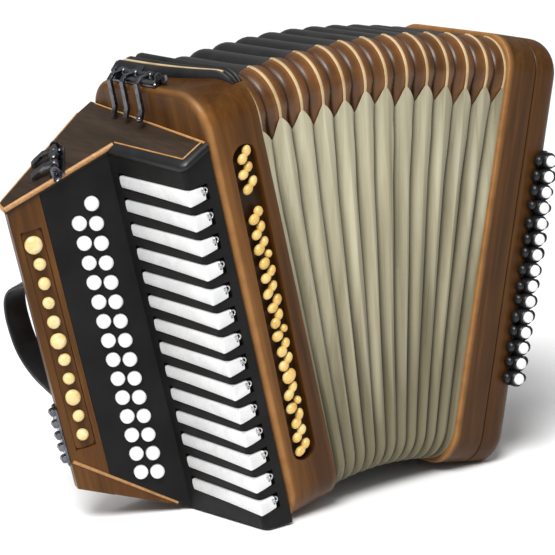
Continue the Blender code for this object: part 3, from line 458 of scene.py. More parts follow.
def cloth():
    """Ivory bellows cloth: a fine weave, streaks down the pleats, painted shade in the valleys and at the
    foot, and painted shade lower down and towards the bass side mixed with random tone.
    """
    p = Paint("bellows_cloth_fine", 0.7, specular=0.2, **{"Sheen Weight": 0.12, "Sheen Roughness": 0.5})
    where = p.mapped((1, 1, 1))
    down = p.noise(p.mapped((1, 1, 0.035)), 150, 4, 0.6, 0.3)
    patch = p.noise(p.place, 22, 4, 0.55, 0.5)
    colour = p.ramp(down, (0.25, (0.33, 0.295, 0.185)), (0.5, (0.47, 0.435, 0.300)),
                    (0.8, (0.58, 0.550, 0.410)))
    colour = p.mix(p.ramp(patch, (0.4, 0.0), (0.75, 0.35)), colour, (0.40, 0.37, 0.26))
    # painted shade lower down and towards the bass side, mixed with random tone
    colour = p.mix(p.math("MULTIPLY", p.attribute("shade_and_tone"), 0.85), colour, (0.105, 0.090, 0.050))
    # painted shade in the valleys and near the bottom corner
    valley_shade = p.math("MULTIPLY", p.attribute("shade"), 0.88)
    colour = p.mix(valley_shade, colour, (0.070, 0.058, 0.030))
    threads = {"Vector": where, "Scale": 430.0, "Distortion": 0.5, "Detail": 1.0}
    weft, warp = (p.add("ShaderNodeTexWave", threads, bands_direction=way).outputs["Fac"]
                  for way in ("Z", "DIAGONAL"))
    weave = p.mix(0.5, weft, warp)
    normal = p.bump(weave, 0.10, 0.0002)
    return p.done(colour, p.gloss(patch, 0.62, 0.78), p.bump(down, 0.35, 0.0010, normal))


def leather(name, deep, mid, rough=(0.34, 0.52), grain=520, dent=0.25, coat=0.04, specular=0.32):
    """Leather with a pebbled grain, darkened by painted shade in its folds, and paler along its ridges and
    edges from wear and a painted sheen.
    """
    p = Paint(name, specular=specular, **{"Coat Weight": coat, "Coat Roughness": 0.3})
    cells = p.add("ShaderNodeTexVoronoi", {"Vector": p.place, "Scale": float(grain), "Randomness": 1.0},
                  feature="DISTANCE_TO_EDGE").outputs["Distance"]
    cloud = p.noise(p.place, 34, 5, 0.6, 0.5)
    crease = p.noise(p.mapped((1, 0.15, 1)), 260, 4)
    colour = p.ramp(cloud, (0.3, deep), (0.72, mid))
    # painted shade from the shade attribute, in the bellows' folds
    colour = p.mix(p.math("MULTIPLY", p.attribute("shade"), 0.8), colour, tuple(c * 0.3 for c in deep))
    # paler from wear, and from a painted sheen on the bellows' ridges
    colour = p.mix(p.math("MULTIPLY", p.attribute("wear_and_sheen"), 0.5), colour, tuple(min(1, c * 2.2) for c in mid))
    pebble = p.ramp(cells, (0.0, 0.0), (0.25, 1.0))
    normal = p.bump(pebble, dent * 0.5, 0.0002)
    return p.done(colour, p.gloss(cloud, *rough), p.bump(crease, dent, 0.0005, normal))


def metal(name, deep, pale, rough=(0.18, 0.36)):
    p = Paint(name, metallic=1.0)
    cloud = p.noise(p.place, 160, 4, 0.6, 0.5)
    brush = p.noise(p.mapped((1, 0.1, 1)), 1500, 3)
    colour = p.ramp(cloud, (0.3, deep), (0.7, pale))
    return p.done(colour, p.gloss(cloud, *rough), p.bump(brush, 0.12, 0.0002))


def plain_wood(name, deep, pale):
    p = Paint(name, 0.6)
    grain = p.noise(p.mapped((1, 1, 0.08)), 180, 5, 0.6, 0.8)
    return p.done(p.ramp(grain, (0.3, deep), (0.7, pale)), None, p.bump(grain, 0.3, 0.0004))


WALNUT = ((0.052, 0.0180, 0.0030), (0.135, 0.0510, 0.0085), (0.225, 0.0950, 0.0210))
# Painted shade: a darker copy of the walnut, for the bass casing.
SHADED_WALNUT = ((0.030, 0.0105, 0.0020), (0.078, 0.0295, 0.0052), (0.130, 0.0540, 0.0120))
TREBLE_WOOD = wood("treble_walnut", *WALNUT, (0.35, 0.165, 0.052), TREBLE_LEAN)
BASS_WOOD = wood("bass_walnut", *SHADED_WALNUT, (0.33, 0.155, 0.052), BASS_LEAN)
WORN_WOOD = wood("worn_walnut", (0.10, 0.040, 0.011), (0.22, 0.095, 0.028), (0.31, 0.145, 0.050),
                 (0.37, 0.18, 0.066), TREBLE_LEAN)
# Painted shade: the keyboard wing's walnut, about a quarter darker than the casing's.
SHADED_WING_WOOD = wood("wing_walnut_shaded", (0.040, 0.0140, 0.0025), (0.100, 0.0385, 0.0068), (0.168, 0.0715, 0.0160),
                 (0.35, 0.165, 0.052), TREBLE_LEAN)
# Painted shade: a much darker walnut for the strip behind the beads in the slot.
SLOT_SHADE_WOOD = wood("slot_shade_walnut", (0.016, 0.0065, 0.0025), (0.040, 0.017, 0.0060), (0.075, 0.034, 0.012),
                 (0.1, 0.05, 0.02), TREBLE_LEAN)
TRIM = trim_wood()
BLACK = lacquer()
VENEER = lid_veneer()
IVORY = ivory("key_ivory_fine")
BUTTON_WHITE = ivory("button_ivory_fine", (0.84, 0.84, 0.84), (0.74, 0.75, 0.76))
PEARL = polished("cream_pearl_fine", (
    (0.25, (0.62, 0.415, 0.140)), (0.5, (0.74, 0.555, 0.245)), (0.75, (0.83, 0.69, 0.41)),
), (140, 4, 0.5, 1.0), (0.3, 0.42), (700, 2, 0.05, 0.0002), (0.35, 0.2), 0.1)
GOLD = polished("gold_bead_fine", (
    (0.2, (0.45, 0.255, 0.055)), (0.5, (0.66, 0.43, 0.115)), (0.8, (0.78, 0.58, 0.27)),
), (90, 3, 0.5, 0.8), (0.32, 0.46), (800, 3, 0.08, 0.0003), (0.3, 0.25), 0.08)
CLOTH = cloth()
BLACK_LEATHER = leather("black_leather_fine", (0.0050, 0.0050, 0.0052), (0.0150, 0.0150, 0.0155))
BROWN_LEATHER = leather("brown_leather_fine", (0.050, 0.0175, 0.0036), (0.150, 0.0590, 0.0130),
                        (0.30, 0.44), 300, 0.12, 0.12)
PIPING = leather("piping_leather", (0.33, 0.225, 0.105), (0.52, 0.40, 0.24), (0.4, 0.55), 800, 0.15, 0.05)
LINING = leather("lining_leather", (0.50, 0.42, 0.32), (0.66, 0.58, 0.47), (0.5, 0.7), 500, 0.2, 0.0)
THREAD = leather("dark_thread", (0.03, 0.03, 0.03), (0.06, 0.058, 0.055), (0.6, 0.8), 1500, 0.2, 0.0)
GUNMETAL = metal("gunmetal", (0.050, 0.051, 0.057), (0.19, 0.195, 0.220))
STEEL = metal("bright_steel", (0.36, 0.36, 0.37), (0.60, 0.60, 0.62))
REED_WOOD = plain_wood("reed_block_wood", (0.36, 0.22, 0.11), (0.62, 0.45, 0.27))


def soften(node, materials, width, segments=3, edge_material=None):
    """Gives a CAD node its materials, and rounds its edges with modifiers."""
    obj = NODES[node]
    for attribute in [a for a in obj.data.attributes if a.name == "custom_normal"]:
        obj.data.attributes.remove(attribute)
    obj.data.materials.clear()
    for material in materials:
        obj.data.materials.append(material)
    obj.data.shade_smooth()
    weld = obj.modifiers.new("weld", "WELD")
    weld.merge_threshold = 1e-5
    bevel = obj.modifiers.new("round", "BEVEL")
    bevel.limit_method, bevel.angle_limit = "ANGLE", math.radians(32)
    bevel.width, bevel.segments = width, segments
    bevel.use_clamp_overlap = True
    if edge_material is not None:
        bevel.material = edge_material
    flat = obj.modifiers.new("even", "WEIGHTED_NORMAL")
    flat.keep_sharp = False
    return obj


# Casings -----------------------------------------------------------------------------------------
OUTLINE = rounded_box((-DEPTH / 2, 0), (DEPTH / 2, HEIGHT), CORNER_R)


def inset(outline, distance):
    """A rounded box's outline moved inwards, point for point."""
    found = []
    for i, here in enumerate(outline):
        before, after = outline[i - 1], outline[(i + 1) % len(outline)]
        one, two = (here - before).normalized(), (after - here).normalized()
        middle = (Vector((one.y, -one.x)) + Vector((two.y, -two.x))).normalized()
        found.append(here - middle * distance / max(0.3, middle.dot(Vector((one.y, -one.x)))))
    return found


def dense(outline, longest):
    """The outline with long straight runs cut into shorter ones."""
    found = []
    for here, after in zip(outline, outline[1:] + outline[:1]):
        steps = max(1, math.ceil((after - here).length / longest))
        found += [here + (after - here) * i / steps for i in range(steps)]
    return found


def casing(name, matrix, section, material, longest=0.02):
    """A closed casing: the outline carried along (inset, x) points and capped at both ends.

    Its feet are cut off level with the ground, as the CAD's are.
    """
    bm = bmesh.new()
    path = dense(OUTLINE, longest)
    add_loops(bm, [[matrix @ Vector((x, p.x, p.y)) for p in inset(path, n)] for n, x in section])
    for vertex in bm.verts:
        vertex.co.z = max(0.0002, vertex.co.z)
    return finish_mesh(name, bm, [material], 50)


def rim(radius, x, steps, outward):
    """Section points of a rounded outer edge that ends at x."""
    return [
        (radius * (1 - math.cos(t)), x + outward * radius * (math.sin(t) - 1))
        for t in (math.pi / 2 * i / steps for i in range(steps + 1))
    ]


def share(value, start, width):
    """How far value is past start, from 0 to 1 over the width."""
    return min(1, max(0, (value - start) / width))


def falloff(distance, width):
    return math.exp(-((distance / width) ** 2))


def slanted(point):
    """The slot and its beads lean towards the bellows at the top."""
    return Vector((point[0] + 0.0045 * (point[1] - BEAD_SLOT[2]) / (BEAD_SLOT[3] - BEAD_SLOT[2]), point[1]))


def treble_case():
    """The treble casing, with a rounded rim, and a sunk slot down its front."""
    section = [(WALL, -0.044), (WALL, -0.0012), (WALL - 0.0012, 0), (0.0012, 0), (0.0004, -0.0004)]
    section += [(0, -0.0012), (0, -0.006), (0, -0.036)] + rim(0.0065, -TREBLE_THICK, 7, -1)
    obj = casing("treble_case", TREBLE, section, TREBLE_WOOD)
    x0, x1, w0, w1 = BEAD_SLOT
    bm = bmesh.new()
    middle = Vector(((x0 + x1) / 2, (w0 + w1) / 2))
    shape = [slanted(p) for p in rounded_box((x0, w0), (x1, w1), 0.0105, 6)]
    loops = []
    for grow, y in ((1.10, -0.080), (1.03, -0.0748), (1.0, -0.0735), (1.0, -0.064)):
        loops.append([
            TREBLE @ Vector((middle.x + (p.x - middle.x) * (1 + (grow - 1) * 1.2), y,
                             middle.y + (p.y - middle.y) * (1 + (grow - 1) * 0.12)))
            for p in shape
        ])
    add_loops(bm, loops)
    cutter = finish_mesh("cutter", bm, [SLOT_SHADE_WOOD])
    modifier = obj.modifiers.new("slot", "BOOLEAN")
    modifier.operation, modifier.object = "DIFFERENCE", cutter
    bake(obj)
    bpy.data.objects.remove(cutter)
    back = TREBLE.inverted()

    def wear_and_sheen(point):
        p = back @ point
        turn = share(-p.x, 0.0425, 0.0075)
        return max(0.8 * math.sin(math.pi * turn) ** 1.5, 0.5 * falloff(p.x, 0.0012))

    def shade(point):
        p = back @ point
        if p.x < -TREBLE_THICK + 0.0005:
            return 0.42
        toward = share(p.x, -0.030, 0.02)
        above = share(p.z, HEIGHT - 0.016, 0.012) * (0.34 + 0.30 * share(p.y, -0.085, 0.04))
        slot = 0.6 if x0 - 0.001 < p.x < x1 + 0.005 and w0 < p.z < w1 and p.y > -0.0742 else 0.0
        return max(slot, above, 0.45 * toward * share(-p.y, 0.040, 0.03))

    paint_attribute(obj, "wear_and_sheen", wear_and_sheen)
    paint_attribute(obj, "shade", shade)
    obj.data.shade_smooth()
    obj.data.set_sharp_from_angle(angle=math.radians(42))
    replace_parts(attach(obj, "treble"), "treble_casing")


def bead_row():
    """Bean-shaped beads, in leaning pairs down the slot, on a darker strip that is painted shade in the slot.
    """
    rng = random.Random(7)
    x0, x1, w0, w1 = BEAD_SLOT
    bm = bmesh.new()
    strip = [slanted(p) for p in rounded_box((x0 - 0.002, w0 - 0.002), (x1 + 0.002, w1 + 0.002), 0.008, 4)]
    back_y = -DEPTH / 2 + 0.0062
    loops = [[TREBLE @ Vector((p.x, y, p.y)) for p in strip] for y in (back_y + 0.0018, back_y)]
    add_loops(bm, loops, index=1)
    low, high = w0 + 0.010, w1 - 0.008
    for i in range(BEAD_ROWS):
        w = low + (high - low) * i / (BEAD_ROWS - 1)
        if i == MISSING_ROW:
            continue
        x = slanted(((x0 + x1) / 2, w)).x + rng.uniform(-0.0012, 0.0012)
        lean = math.radians(40 + rng.uniform(-12, 14))
        way = Vector((math.cos(lean), math.sin(lean)))
        if i == BIG_ROW:
            lobes = ((0.0, 0.0068, 0.0056), )
        elif i in UNEVEN_ROWS:
            lobes = ((-0.0030, 0.0052, 0.0040), (0.0052, 0.0033, 0.0030))
        else:
            lobes = ((-0.0036, rng.uniform(0.0046, 0.0053), rng.uniform(0.0035, 0.0041)),
                     (0.0036, rng.uniform(0.0042, 0.0051), rng.uniform(0.0032, 0.0039)))
        for at, long, wide in lobes:
            centre = Vector((x, w)) + way * at
            bend = lean + (1 if at > 0 else -1) * math.radians(rng.uniform(6, 20))
            spot = TREBLE @ Matrix.Translation((centre.x, -DEPTH / 2 + 0.0010, centre.y))
            add_ball(bm, spot @ Matrix.Rotation(-bend, 4, "Y"), (long, 0.0034, wide), 18, 12)
    obj = finish_mesh("bead_row", bm, [GOLD, SLOT_SHADE_WOOD], 60)
    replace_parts(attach(obj, "treble"), "bead_strip")


def bass_case():
    """The bass side in two halves, with a dark groove where they meet."""
    section = [(WALL, BASS_SPLIT - 0.006), (WALL, 0.0012), (WALL - 0.0012, 0), (0.0014, 0), (0.0004, 0.0004),
               (0, 0.0014), (0, 0.006), (0, BASS_SPLIT - 0.0012), (0.0012, BASS_SPLIT - 0.0002)]
    ring = casing("bass_case_inner", BASS, section, BASS_WOOD)
    section = [(0.0014, BASS_SPLIT + GAP), (0.0002, BASS_SPLIT + 0.0014), (0, BASS_SPLIT + 0.003),
               (0, BASS_THICK - BASS_ROUND - 0.002)] + rim(BASS_ROUND, BASS_THICK, 10, 1)
    cover = casing("bass_case_outer", BASS, section, BASS_WOOD)
    back = BASS.inverted()

    def wear_and_sheen(point):
        p = back @ point
        return 0.85 * falloff(p.x - 0.0006, 0.0016) + 0.18 * falloff(p.x - BASS_SPLIT, 0.0012)

    def shade(point):
        p = back @ point
        return 0.9 * falloff(p.x - BASS_SPLIT, 0.0011)

    for obj in (ring, cover):
        paint_attribute(obj, "wear_and_sheen", wear_and_sheen)
        paint_attribute(obj, "shade", shade)
        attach(obj, "bass")
    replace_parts(ring, "bass_casing")
    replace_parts(cover, "bass_end_cover")


# Bass buttons ------------------------------------------------------------------------------------
def facing_front(matrix, x, y, w):
    """A spot of a casing's frame with z to the front."""
    return matrix @ frame_matrix((x, y, w), (1, 0, 0), (0, 0, 1))


DOME = [(0.98, 0.0), (1.0, 0.35), (0.985, 0.58), (0.93, 0.76), (0.82, 0.88), (0.64, 0.955), (0.40, 0.99),
        (0.0, 1.0)]


def dome(radius, back, proud):
    """A domed button's profile, from its hidden back to its top."""
    return [(radius * 0.98, back)] + [(radius * r, proud * z) for r, z in DOME]


def bass_side_buttons():
    rng = random.Random(3)
    middle = (RAIL_X[0] + RAIL_X[1]) / 2
    cups = bmesh.new()
    spine = [BASS @ Vector((middle, RAIL_Y[1] - 0.006, w)) for w in
             (RAIL_W[0] + 0.002 + (RAIL_W[1] - RAIL_W[0] - 0.004) * i / 40 for i in range(41))]
    outward = (BASS.to_3x3() @ Vector((0, -1, 0))).normalized()
    add_sweep(cups, spine, oval(0.0062, 0.0034, 14), outward)
    cup = [(0.0050, -0.010), (0.0064, -0.0085), (0.0069, -0.004), (0.0069, 0.0006), (0.0066, 0.0020),
           (0.0060, 0.0028), (0.0055, 0.0024), (0.0053, 0.0012), (0.0052, -0.001), (0.0052, -0.0063)]
    for group in range(BASS_GROUPS):
        caps = bmesh.new()
        for i in range(BASS_PER_GROUP):
            w = BASS_LOW + BASS_PITCH * (group * BASS_PER_GROUP + i)
            spot = facing_front(BASS, middle, RAIL_Y[0], w)
            add_lathe(caps, spot, dome(BASS_BUTTON_R, -0.0020, BASS_BUTTON_PROUD), 20)
            add_lathe(cups, spot, cup, 22)
            for side in (-1, 1):
                reach = 0.0086 + rng.uniform(0, 0.0006)
                lug = spot @ Matrix.Translation((side * reach, rng.uniform(-0.0012, 0.0012), -0.0034))
                add_ball(cups, lug, (0.0034, rng.uniform(0.0040, 0.0052), 0.0046), 14, 8)
        obj = finish_mesh(f"bass_dome_set_{group + 1}", caps, [BUTTON_WHITE], 60)
        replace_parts(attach(obj, f"bass_buttons_{group + 1}"), f"bass_buttons_{group + 1}")
    obj = finish_mesh("bass_button_cups", cups, [GLOSS_BLACK], 60)
    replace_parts(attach(obj, "bass"), "bass_button_rail")


# Keyboard wing -----------------------------------------------------------------------------------
def key_half(along):
    """Half the key's height: it narrows towards the valley."""
    return KEY_HALF - 0.0012 * min(1, max(0, along)) ** 1.3


def key_path():
    """Points of a key's outer face in plan, with the outward direction, and how far along the key face."""
    out, along = OUT_OF_KEYS, ALONG_KEYS
    corner = CORNER + KEY_PROUD * out
    corner = corner - along * (corner.y / along.y)
    fillet = 0.0022
    run = corner.x - fillet - KEY_END
    found = [(Vector((KEY_END + run * i / 5, 0)), Vector((0, -1)), -1 + i / 5) for i in range(6)]
    for i in range(1, 5):
        t = i / 5
        one, two = Vector((corner.x - fillet, 0)), corner + along * fillet
        spot = (1 - t) ** 2 * one + 2 * t * (1 - t) * corner + t ** 2 * two
        found.append((spot, (Vector((0, -1)) * (1 - t) + out * t).normalized(), 0))
    for i in range(15):
        s = fillet + (KEY_FACE - fillet) * i / 14
        bow = 0.0006 * math.sin(math.pi * s / KEY_FACE)
        found.append((corner + along * s - out * bow, out, s / KEY_FACE))
    return found


def key_loops(height):
    loops = []
    deep, edge = 0.0050, 0.0011
    for spot, out, along in key_path():
        half = key_half(along) if along >= 0 else KEY_HALF - 0.0009 * along * along
        lift = KEY_SLOPE * KEY_FACE * max(0, along)
        section = [(-deep, half - 0.0004)]
        section += [(-edge + edge * math.sin(t), half - edge + edge * math.cos(t))
                    for t in (math.pi / 2 * i / 3 for i in range(4))]
        section += [(0.00035, half * 0.35), (0.00035, -half * 0.35)]
        section += [(-edge + edge * math.cos(t), -half + edge - edge * math.sin(t))
                    for t in (math.pi / 2 * i / 3 for i in range(4))]
        section += [(-deep, -half + 0.0004)]
        loops.append([TREBLE @ plan(spot + out * d, height + lift + z) for d, z in section])
    return loops


def key_shade(point, height):
    """Painted shade: keys are greyer towards the valley and along their upper edge."""
    p = TREBLE.inverted() @ point
    along = (Vector((-TREBLE_THICK - p.x, p.y + DEPTH / 2)) - CORNER).dot(ALONG_KEYS) / KEY_FACE
    upper = max(0, (p.z - height - KEY_SLOPE * KEY_FACE * max(0, along)) / KEY_HALF)
    return min(1, 0.62 * max(0, min(1, along)) ** 1.5 + 0.22 * upper ** 2 * max(0, min(1, along + 0.3)))


def keys():
    rng = random.Random(11)
    for number in range(1, KEYS + 1):
        height = KEY_LOW + KEY_PITCH * (KEYS - number)
        bm = bmesh.new()
        add_loops(bm, key_loops(height))
        hook = plan((KEY_END + 0.0003, -0.0006), height + 0.0027)
        turn = frame_matrix(hook, (1, 0, 0), (0, 0, 1)) @ Matrix.Rotation(rng.uniform(-0.15, 0.15), 4, "Y")
        add_torus(bm, TREBLE @ turn, 0.0023, 0.0007, index=1)
        add_ball(bm, TREBLE @ Matrix.Translation(plan((KEY_END + 0.0014, 0.0006), height - 0.0004)),
                 (0.0014, 0.0012, 0.0022), 12, 8, index=2)
        obj = finish_mesh(f"key_{number:02d}_bar", bm, [IVORY, STEEL, GUNMETAL], 50)
        paint_attribute(obj, "shade", lambda point: key_shade(point, height))
        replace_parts(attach(obj, f"key_{number:02d}"), f"key_{number:02d}")


def treble_buttons():
    rng = random.Random(5)
    for number in range(1, BUTTON_PAIRS + 1):
        low = BUTTON_LOW + BUTTON_PITCH * (BUTTON_PAIRS - number)
        spots = [(0, low), (1, low + BUTTON_STAGGER)]
        if number == 1:
            spots.append((0, low + BUTTON_PITCH))
        bm = bmesh.new()
        for column, height in spots:
            spot = TREBLE @ board_matrix(BUTTON_COLUMNS[column], height)
            add_lathe(bm, spot, dome(BUTTON_R * rng.uniform(0.975, 1.0), -0.006, BUTTON_PROUD), 28)
        name = "button_set_01" if number == 1 else f"button_pair_{number:02d}"
        obj = finish_mesh(f"{name}_domes", bm, [BUTTON_WHITE], 60)
        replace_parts(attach(obj, name), name)


def stud_row():
    """Round cream studs of uneven size, on a strip of the wing's darker walnut, painted shade, in the wing's
    recess.
    """
    rng = random.Random(13)
    (s0, s1), (w0, w1) = STUD_S, STUD_W
    bm = bmesh.new()
    outline = rounded_box((w0 + 0.0005, s0 + 0.0005), (w1 - 0.0005, s1 - 0.0005), 0.004, 4)
    along = plan_way(ALONG_BOARD)
    origin = plan(VALLEY, 0)
    out = plan_way(OUT_OF_BOARD)
    loops = [[TREBLE @ (origin + along * p.y + Vector((0, 0, p.x)) + out * z) for p in outline]
             for z in (-STUD_DEEP + 0.0002, -STUD_DEEP + 0.0012)]
    add_loops(bm, loops, index=1)
    for i in range(STUDS):
        w = w0 + 0.012 + (w1 - w0 - 0.024) * i / (STUDS - 1)
        radius = 0.0073 if i == BIG_STUD else 0.0066 if i in MIDDLE_STUDS else rng.uniform(0.0048, 0.0054)
        spot = TREBLE @ board_matrix((s0 + s1) / 2 + rng.uniform(-0.0006, 0.0006), w)
        squash = Matrix.Scale(rng.uniform(0.92, 1.0), 4, (1, 0, 0))
        add_lathe(bm, spot @ Matrix.Rotation(rng.uniform(0, 3), 4, "Z") @ squash, [
            (radius * 0.7, -STUD_DEEP + 0.001), (radius * 0.96, -0.0016), (radius, -0.0004),
            (radius * 0.97, 0.0009), (radius * 0.86, 0.0021), (radius * 0.66, 0.0029),
            (radius * 0.38, 0.0034), (0, 0.0036)], 24)
    obj = finish_mesh("stud_row", bm, [PEARL, SHADED_WING_WOOD], 60)
    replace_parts(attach(obj, "treble"), "stud_strip")


SHOULDER = 0.0070  # width of the black band round the lid's key side


def key_side(n):
    """The lid's key side in plan, n inwards of its edge: front, round corner, key face, valley."""
    centre = CORNER + Vector((-0.0064, 0.006))
    radius = 0.0075 - n
    found = [Vector((a, centre.y - radius)) for a in (GAP, 0.008, 0.015)]
    found += arc(centre, radius, -90, -5.3, 8)
    start = found[-1]
    line = VALLEY + LID_OVERHANG * OUT_OF_BOARD
    # where this line meets the board's edge line
    gap = (line - start).dot(OUT_OF_BOARD) / ALONG_KEYS.dot(OUT_OF_BOARD)
    return found + [start + ALONG_KEYS * gap * t for t in (0.25, 0.5, 0.75, 1.0)]


def on_lid(point, drop):
    return TREBLE @ plan(point, lid_top(point.x, point.y) - drop)


def lid():
    """The sloping lid: a dark panel, and a black rounded shoulder over the keys."""
    outer, inner = key_side(0), key_side(SHOULDER)
    bm = bmesh.new()
    under = LID_THICK - 0.0001
    across = [(0.0, under), (0.0, 0.0034), (0.06, 0.0022), (0.18, 0.0012), (0.38, 0.0005), (0.65, 0.0001),
              (0.995, 0.0), (0.995, under)]
    add_loops(bm, [[on_lid(o.lerp(i, t), d) for t, d in across] for o, i in zip(outer, inner)])
    shoulder = finish_mesh("lid_shoulder", bm, [GLOSS_BLACK], 50)
    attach(shoulder, "treble")
    edge = LID_OVERHANG
    corner = VALLEY + edge * OUT_OF_BOARD
    tip_front = TIP + edge * OUT_OF_BOARD + edge * ALONG_BOARD * 0.9
    tip_back = TIP_BACK + edge * 0.9 * OUT_OF_BACK - edge * 0.9 * ALONG_BACK
    back_end = BACK + edge * OUT_OF_BACK
    shape = inner + [corner.lerp(tip_front, t) for t in (0.12, 0.3, 0.55, 0.8, 1.0)]
    shape += [tip_back, tip_back.lerp(back_end, 0.33), tip_back.lerp(back_end, 0.66), back_end,
              Vector((GAP, BACK.y + edge))]
    centre = sum(shape, Vector((0, 0))) / len(shape)
    bm = bmesh.new()
    loops = []
    for pull, drop in ((0.0, under), (0.0, 0.0018), (0.0004, 0.0007), (0.0012, 0.0001), (0.0020, 0.0)):
        loops.append([on_lid(p + (centre - p).normalized() * pull, drop) for p in shape])
    add_loops(bm, loops)
    panel = finish_mesh("lid_panel", bm, [VENEER], 40)
    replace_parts(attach(panel, "treble"), "wing_lid")
    trim = bmesh.new()
    normal = (TREBLE.to_3x3() @ Vector((LID_FALL, -LID_FALL_BACK, 1))).normalized()
    # the wide pale edge over the board
    front = [inner[-1].lerp(corner, 0.2)] + [corner.lerp(tip_front, t / 14) for t in range(15)]
    add_sweep(trim, [on_lid(p, 0.0012) for p in front],
              lambda t: oval(0.0022 - 0.0007 * t, 0.0021), normal)
    round_tip = [tip_front, tip_front.lerp(tip_back, 0.5) + Vector((0.0006, 0)), tip_back]
    round_tip += [tip_back.lerp(back_end, t / 6) for t in range(1, 7)]
    add_sweep(trim, [on_lid(p, 0.0016) for p in round_tip], oval(0.0010, 0.0017), normal)
    # thin lines along the shoulder and along the casing
    add_sweep(trim, [on_lid(p, 0.0001) for p in inner], oval(0.0008, 0.0006), normal)
    seam = [Vector((0.0013, 0.004 + 0.138 * i / 20)) for i in range(21)]
    add_sweep(trim, [on_lid(p, 0.0001) for p in seam],
              lambda t: oval(0.0013 * (1 - 0.6 * t), 0.0011 * (1 - 0.4 * t)), normal)
    # the edge of the wooden base under the board
    base = [VALLEY + OUT_OF_BOARD * 0.0002 + ALONG_BOARD * (0.010 + 0.0738 * i / 14) for i in range(15)]
    base_line = [TREBLE @ plan(p, board_bottom(p.x, p.y) - 0.0006) for p in base]
    add_sweep(trim, base_line, lambda t: oval(0.0010 + 0.0004 * t, 0.0009 + 0.0004 * t),
              (TREBLE.to_3x3() @ plan_way(OUT_OF_BOARD)).normalized())
    obj = finish_mesh("pale_edges", trim, [TRIM], 60)
    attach(obj, "treble")


# Latches -----------------------------------------------------------------------------------------
TOP_LATCH = Matrix.Translation(Vector((0.009 - TREBLE_THICK, 0.088 - DEPTH / 2, HEIGHT + GAP)))


def lid_latch_matrix():
    spot = Vector((0.064, 0.113))
    normal = Vector((-LID_FALL, -LID_FALL_BACK, 1)).normalized()
    back = Vector((0, 1, LID_FALL_BACK)).normalized()
    place = plan(spot, lid_top(*spot) + GAP)
    return frame_matrix(place, back.cross(normal), back) @ Matrix.Rotation(math.radians(-38), 4, "Z")


BARREL = [(0.0, -0.0032), (0.0026, -0.0032), (0.0033, -0.0026), (0.0034, 0.0), (0.0033, 0.0026),
          (0.0026, 0.0032), (0.0, 0.0032)]


def add_knuckles(bm, matrix, places):
    for y in places:
        turn = Matrix.Translation((0, y, LATCH_PIVOT)) @ Matrix.Rotation(math.pi / 2, 4, "X")
        add_lathe(bm, matrix @ turn, BARREL, 20)


def latches():
    """Knuckles, a ball, a disc, leaves, screws and a hook on the two latches, whose bars are the CAD's."""
    for node in ("top_latch_base", "top_latch_lever", "lid_latch_base", "lid_latch_lever"):
        soften(node, [GUNMETAL], 0.0005, 2)
    top, low = TREBLE @ TOP_LATCH, TREBLE @ lid_latch_matrix()
    bm = bmesh.new()
    tip = top @ Matrix.Translation((-0.0186, -0.017, LATCH_PIVOT - 0.0285))
    add_ball(bm, tip, (0.0030, 0.0030, 0.0026))
    add_knuckles(bm, top, (-0.017, 0.002, 0.0185))
    obj = finish_mesh("top_latch_fittings", bm, [GUNMETAL], 60)
    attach(obj, "top_latch")
    bm = bmesh.new()
    add_knuckles(bm, low, (-0.0085, 0.0085))
    disc = low @ Matrix.Translation((0.0004, 0, LATCH_PIVOT + 0.0036)) @ Matrix.Rotation(0.1, 4, "Y")
    add_ball(bm, disc, (0.0036, 0.0054, 0.0011), 20, 8)
    obj = finish_mesh("lid_latch_fittings", bm, [GUNMETAL], 60)
    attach(obj, "lid_latch")
    bm = bmesh.new()
    for side in (-1, 1):
        leaf = low @ Matrix.Translation((0.0005, side * 0.0205, 0.0018))
        add_ball(bm, leaf @ Matrix.Rotation(side * 0.25, 4, "Z"), (0.0036, 0.0062, 0.0013), 18, 8)
        add_lathe(bm, low @ Matrix.Translation((0, side * 0.0165, 0.0018)),
                  [(0.0016, -0.0010), (0.0019, 0.0004), (0.0016, 0.0011), (0.0, 0.0015)], 14, index=1)
    hook = [(0.001, y, z) for y, z in ((-0.0290, 0.0022), (-0.0325, 0.0030), (-0.0350, 0.0055),
                                       (-0.0352, 0.0085))]
    across = top.to_3x3() @ Vector((1, 0, 0))
    add_sweep(bm, [top @ p for p in smooth_path(hook, 5)], oval(0.0022, 0.0009), across)
    for side in (-1, 1):
        screw = top @ Matrix.Translation((0.0040 * side, 0.0262 * side, 0.0016))
        head = [(0.0012, -0.0010), (0.0015, 0.0003), (0.0012, 0.0009), (0.0, 0.0012)]
        add_lathe(bm, screw, head, 14, index=1)
    obj = finish_mesh("latch_plates", bm, [GUNMETAL, STEEL], 60)
    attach(obj, "treble")


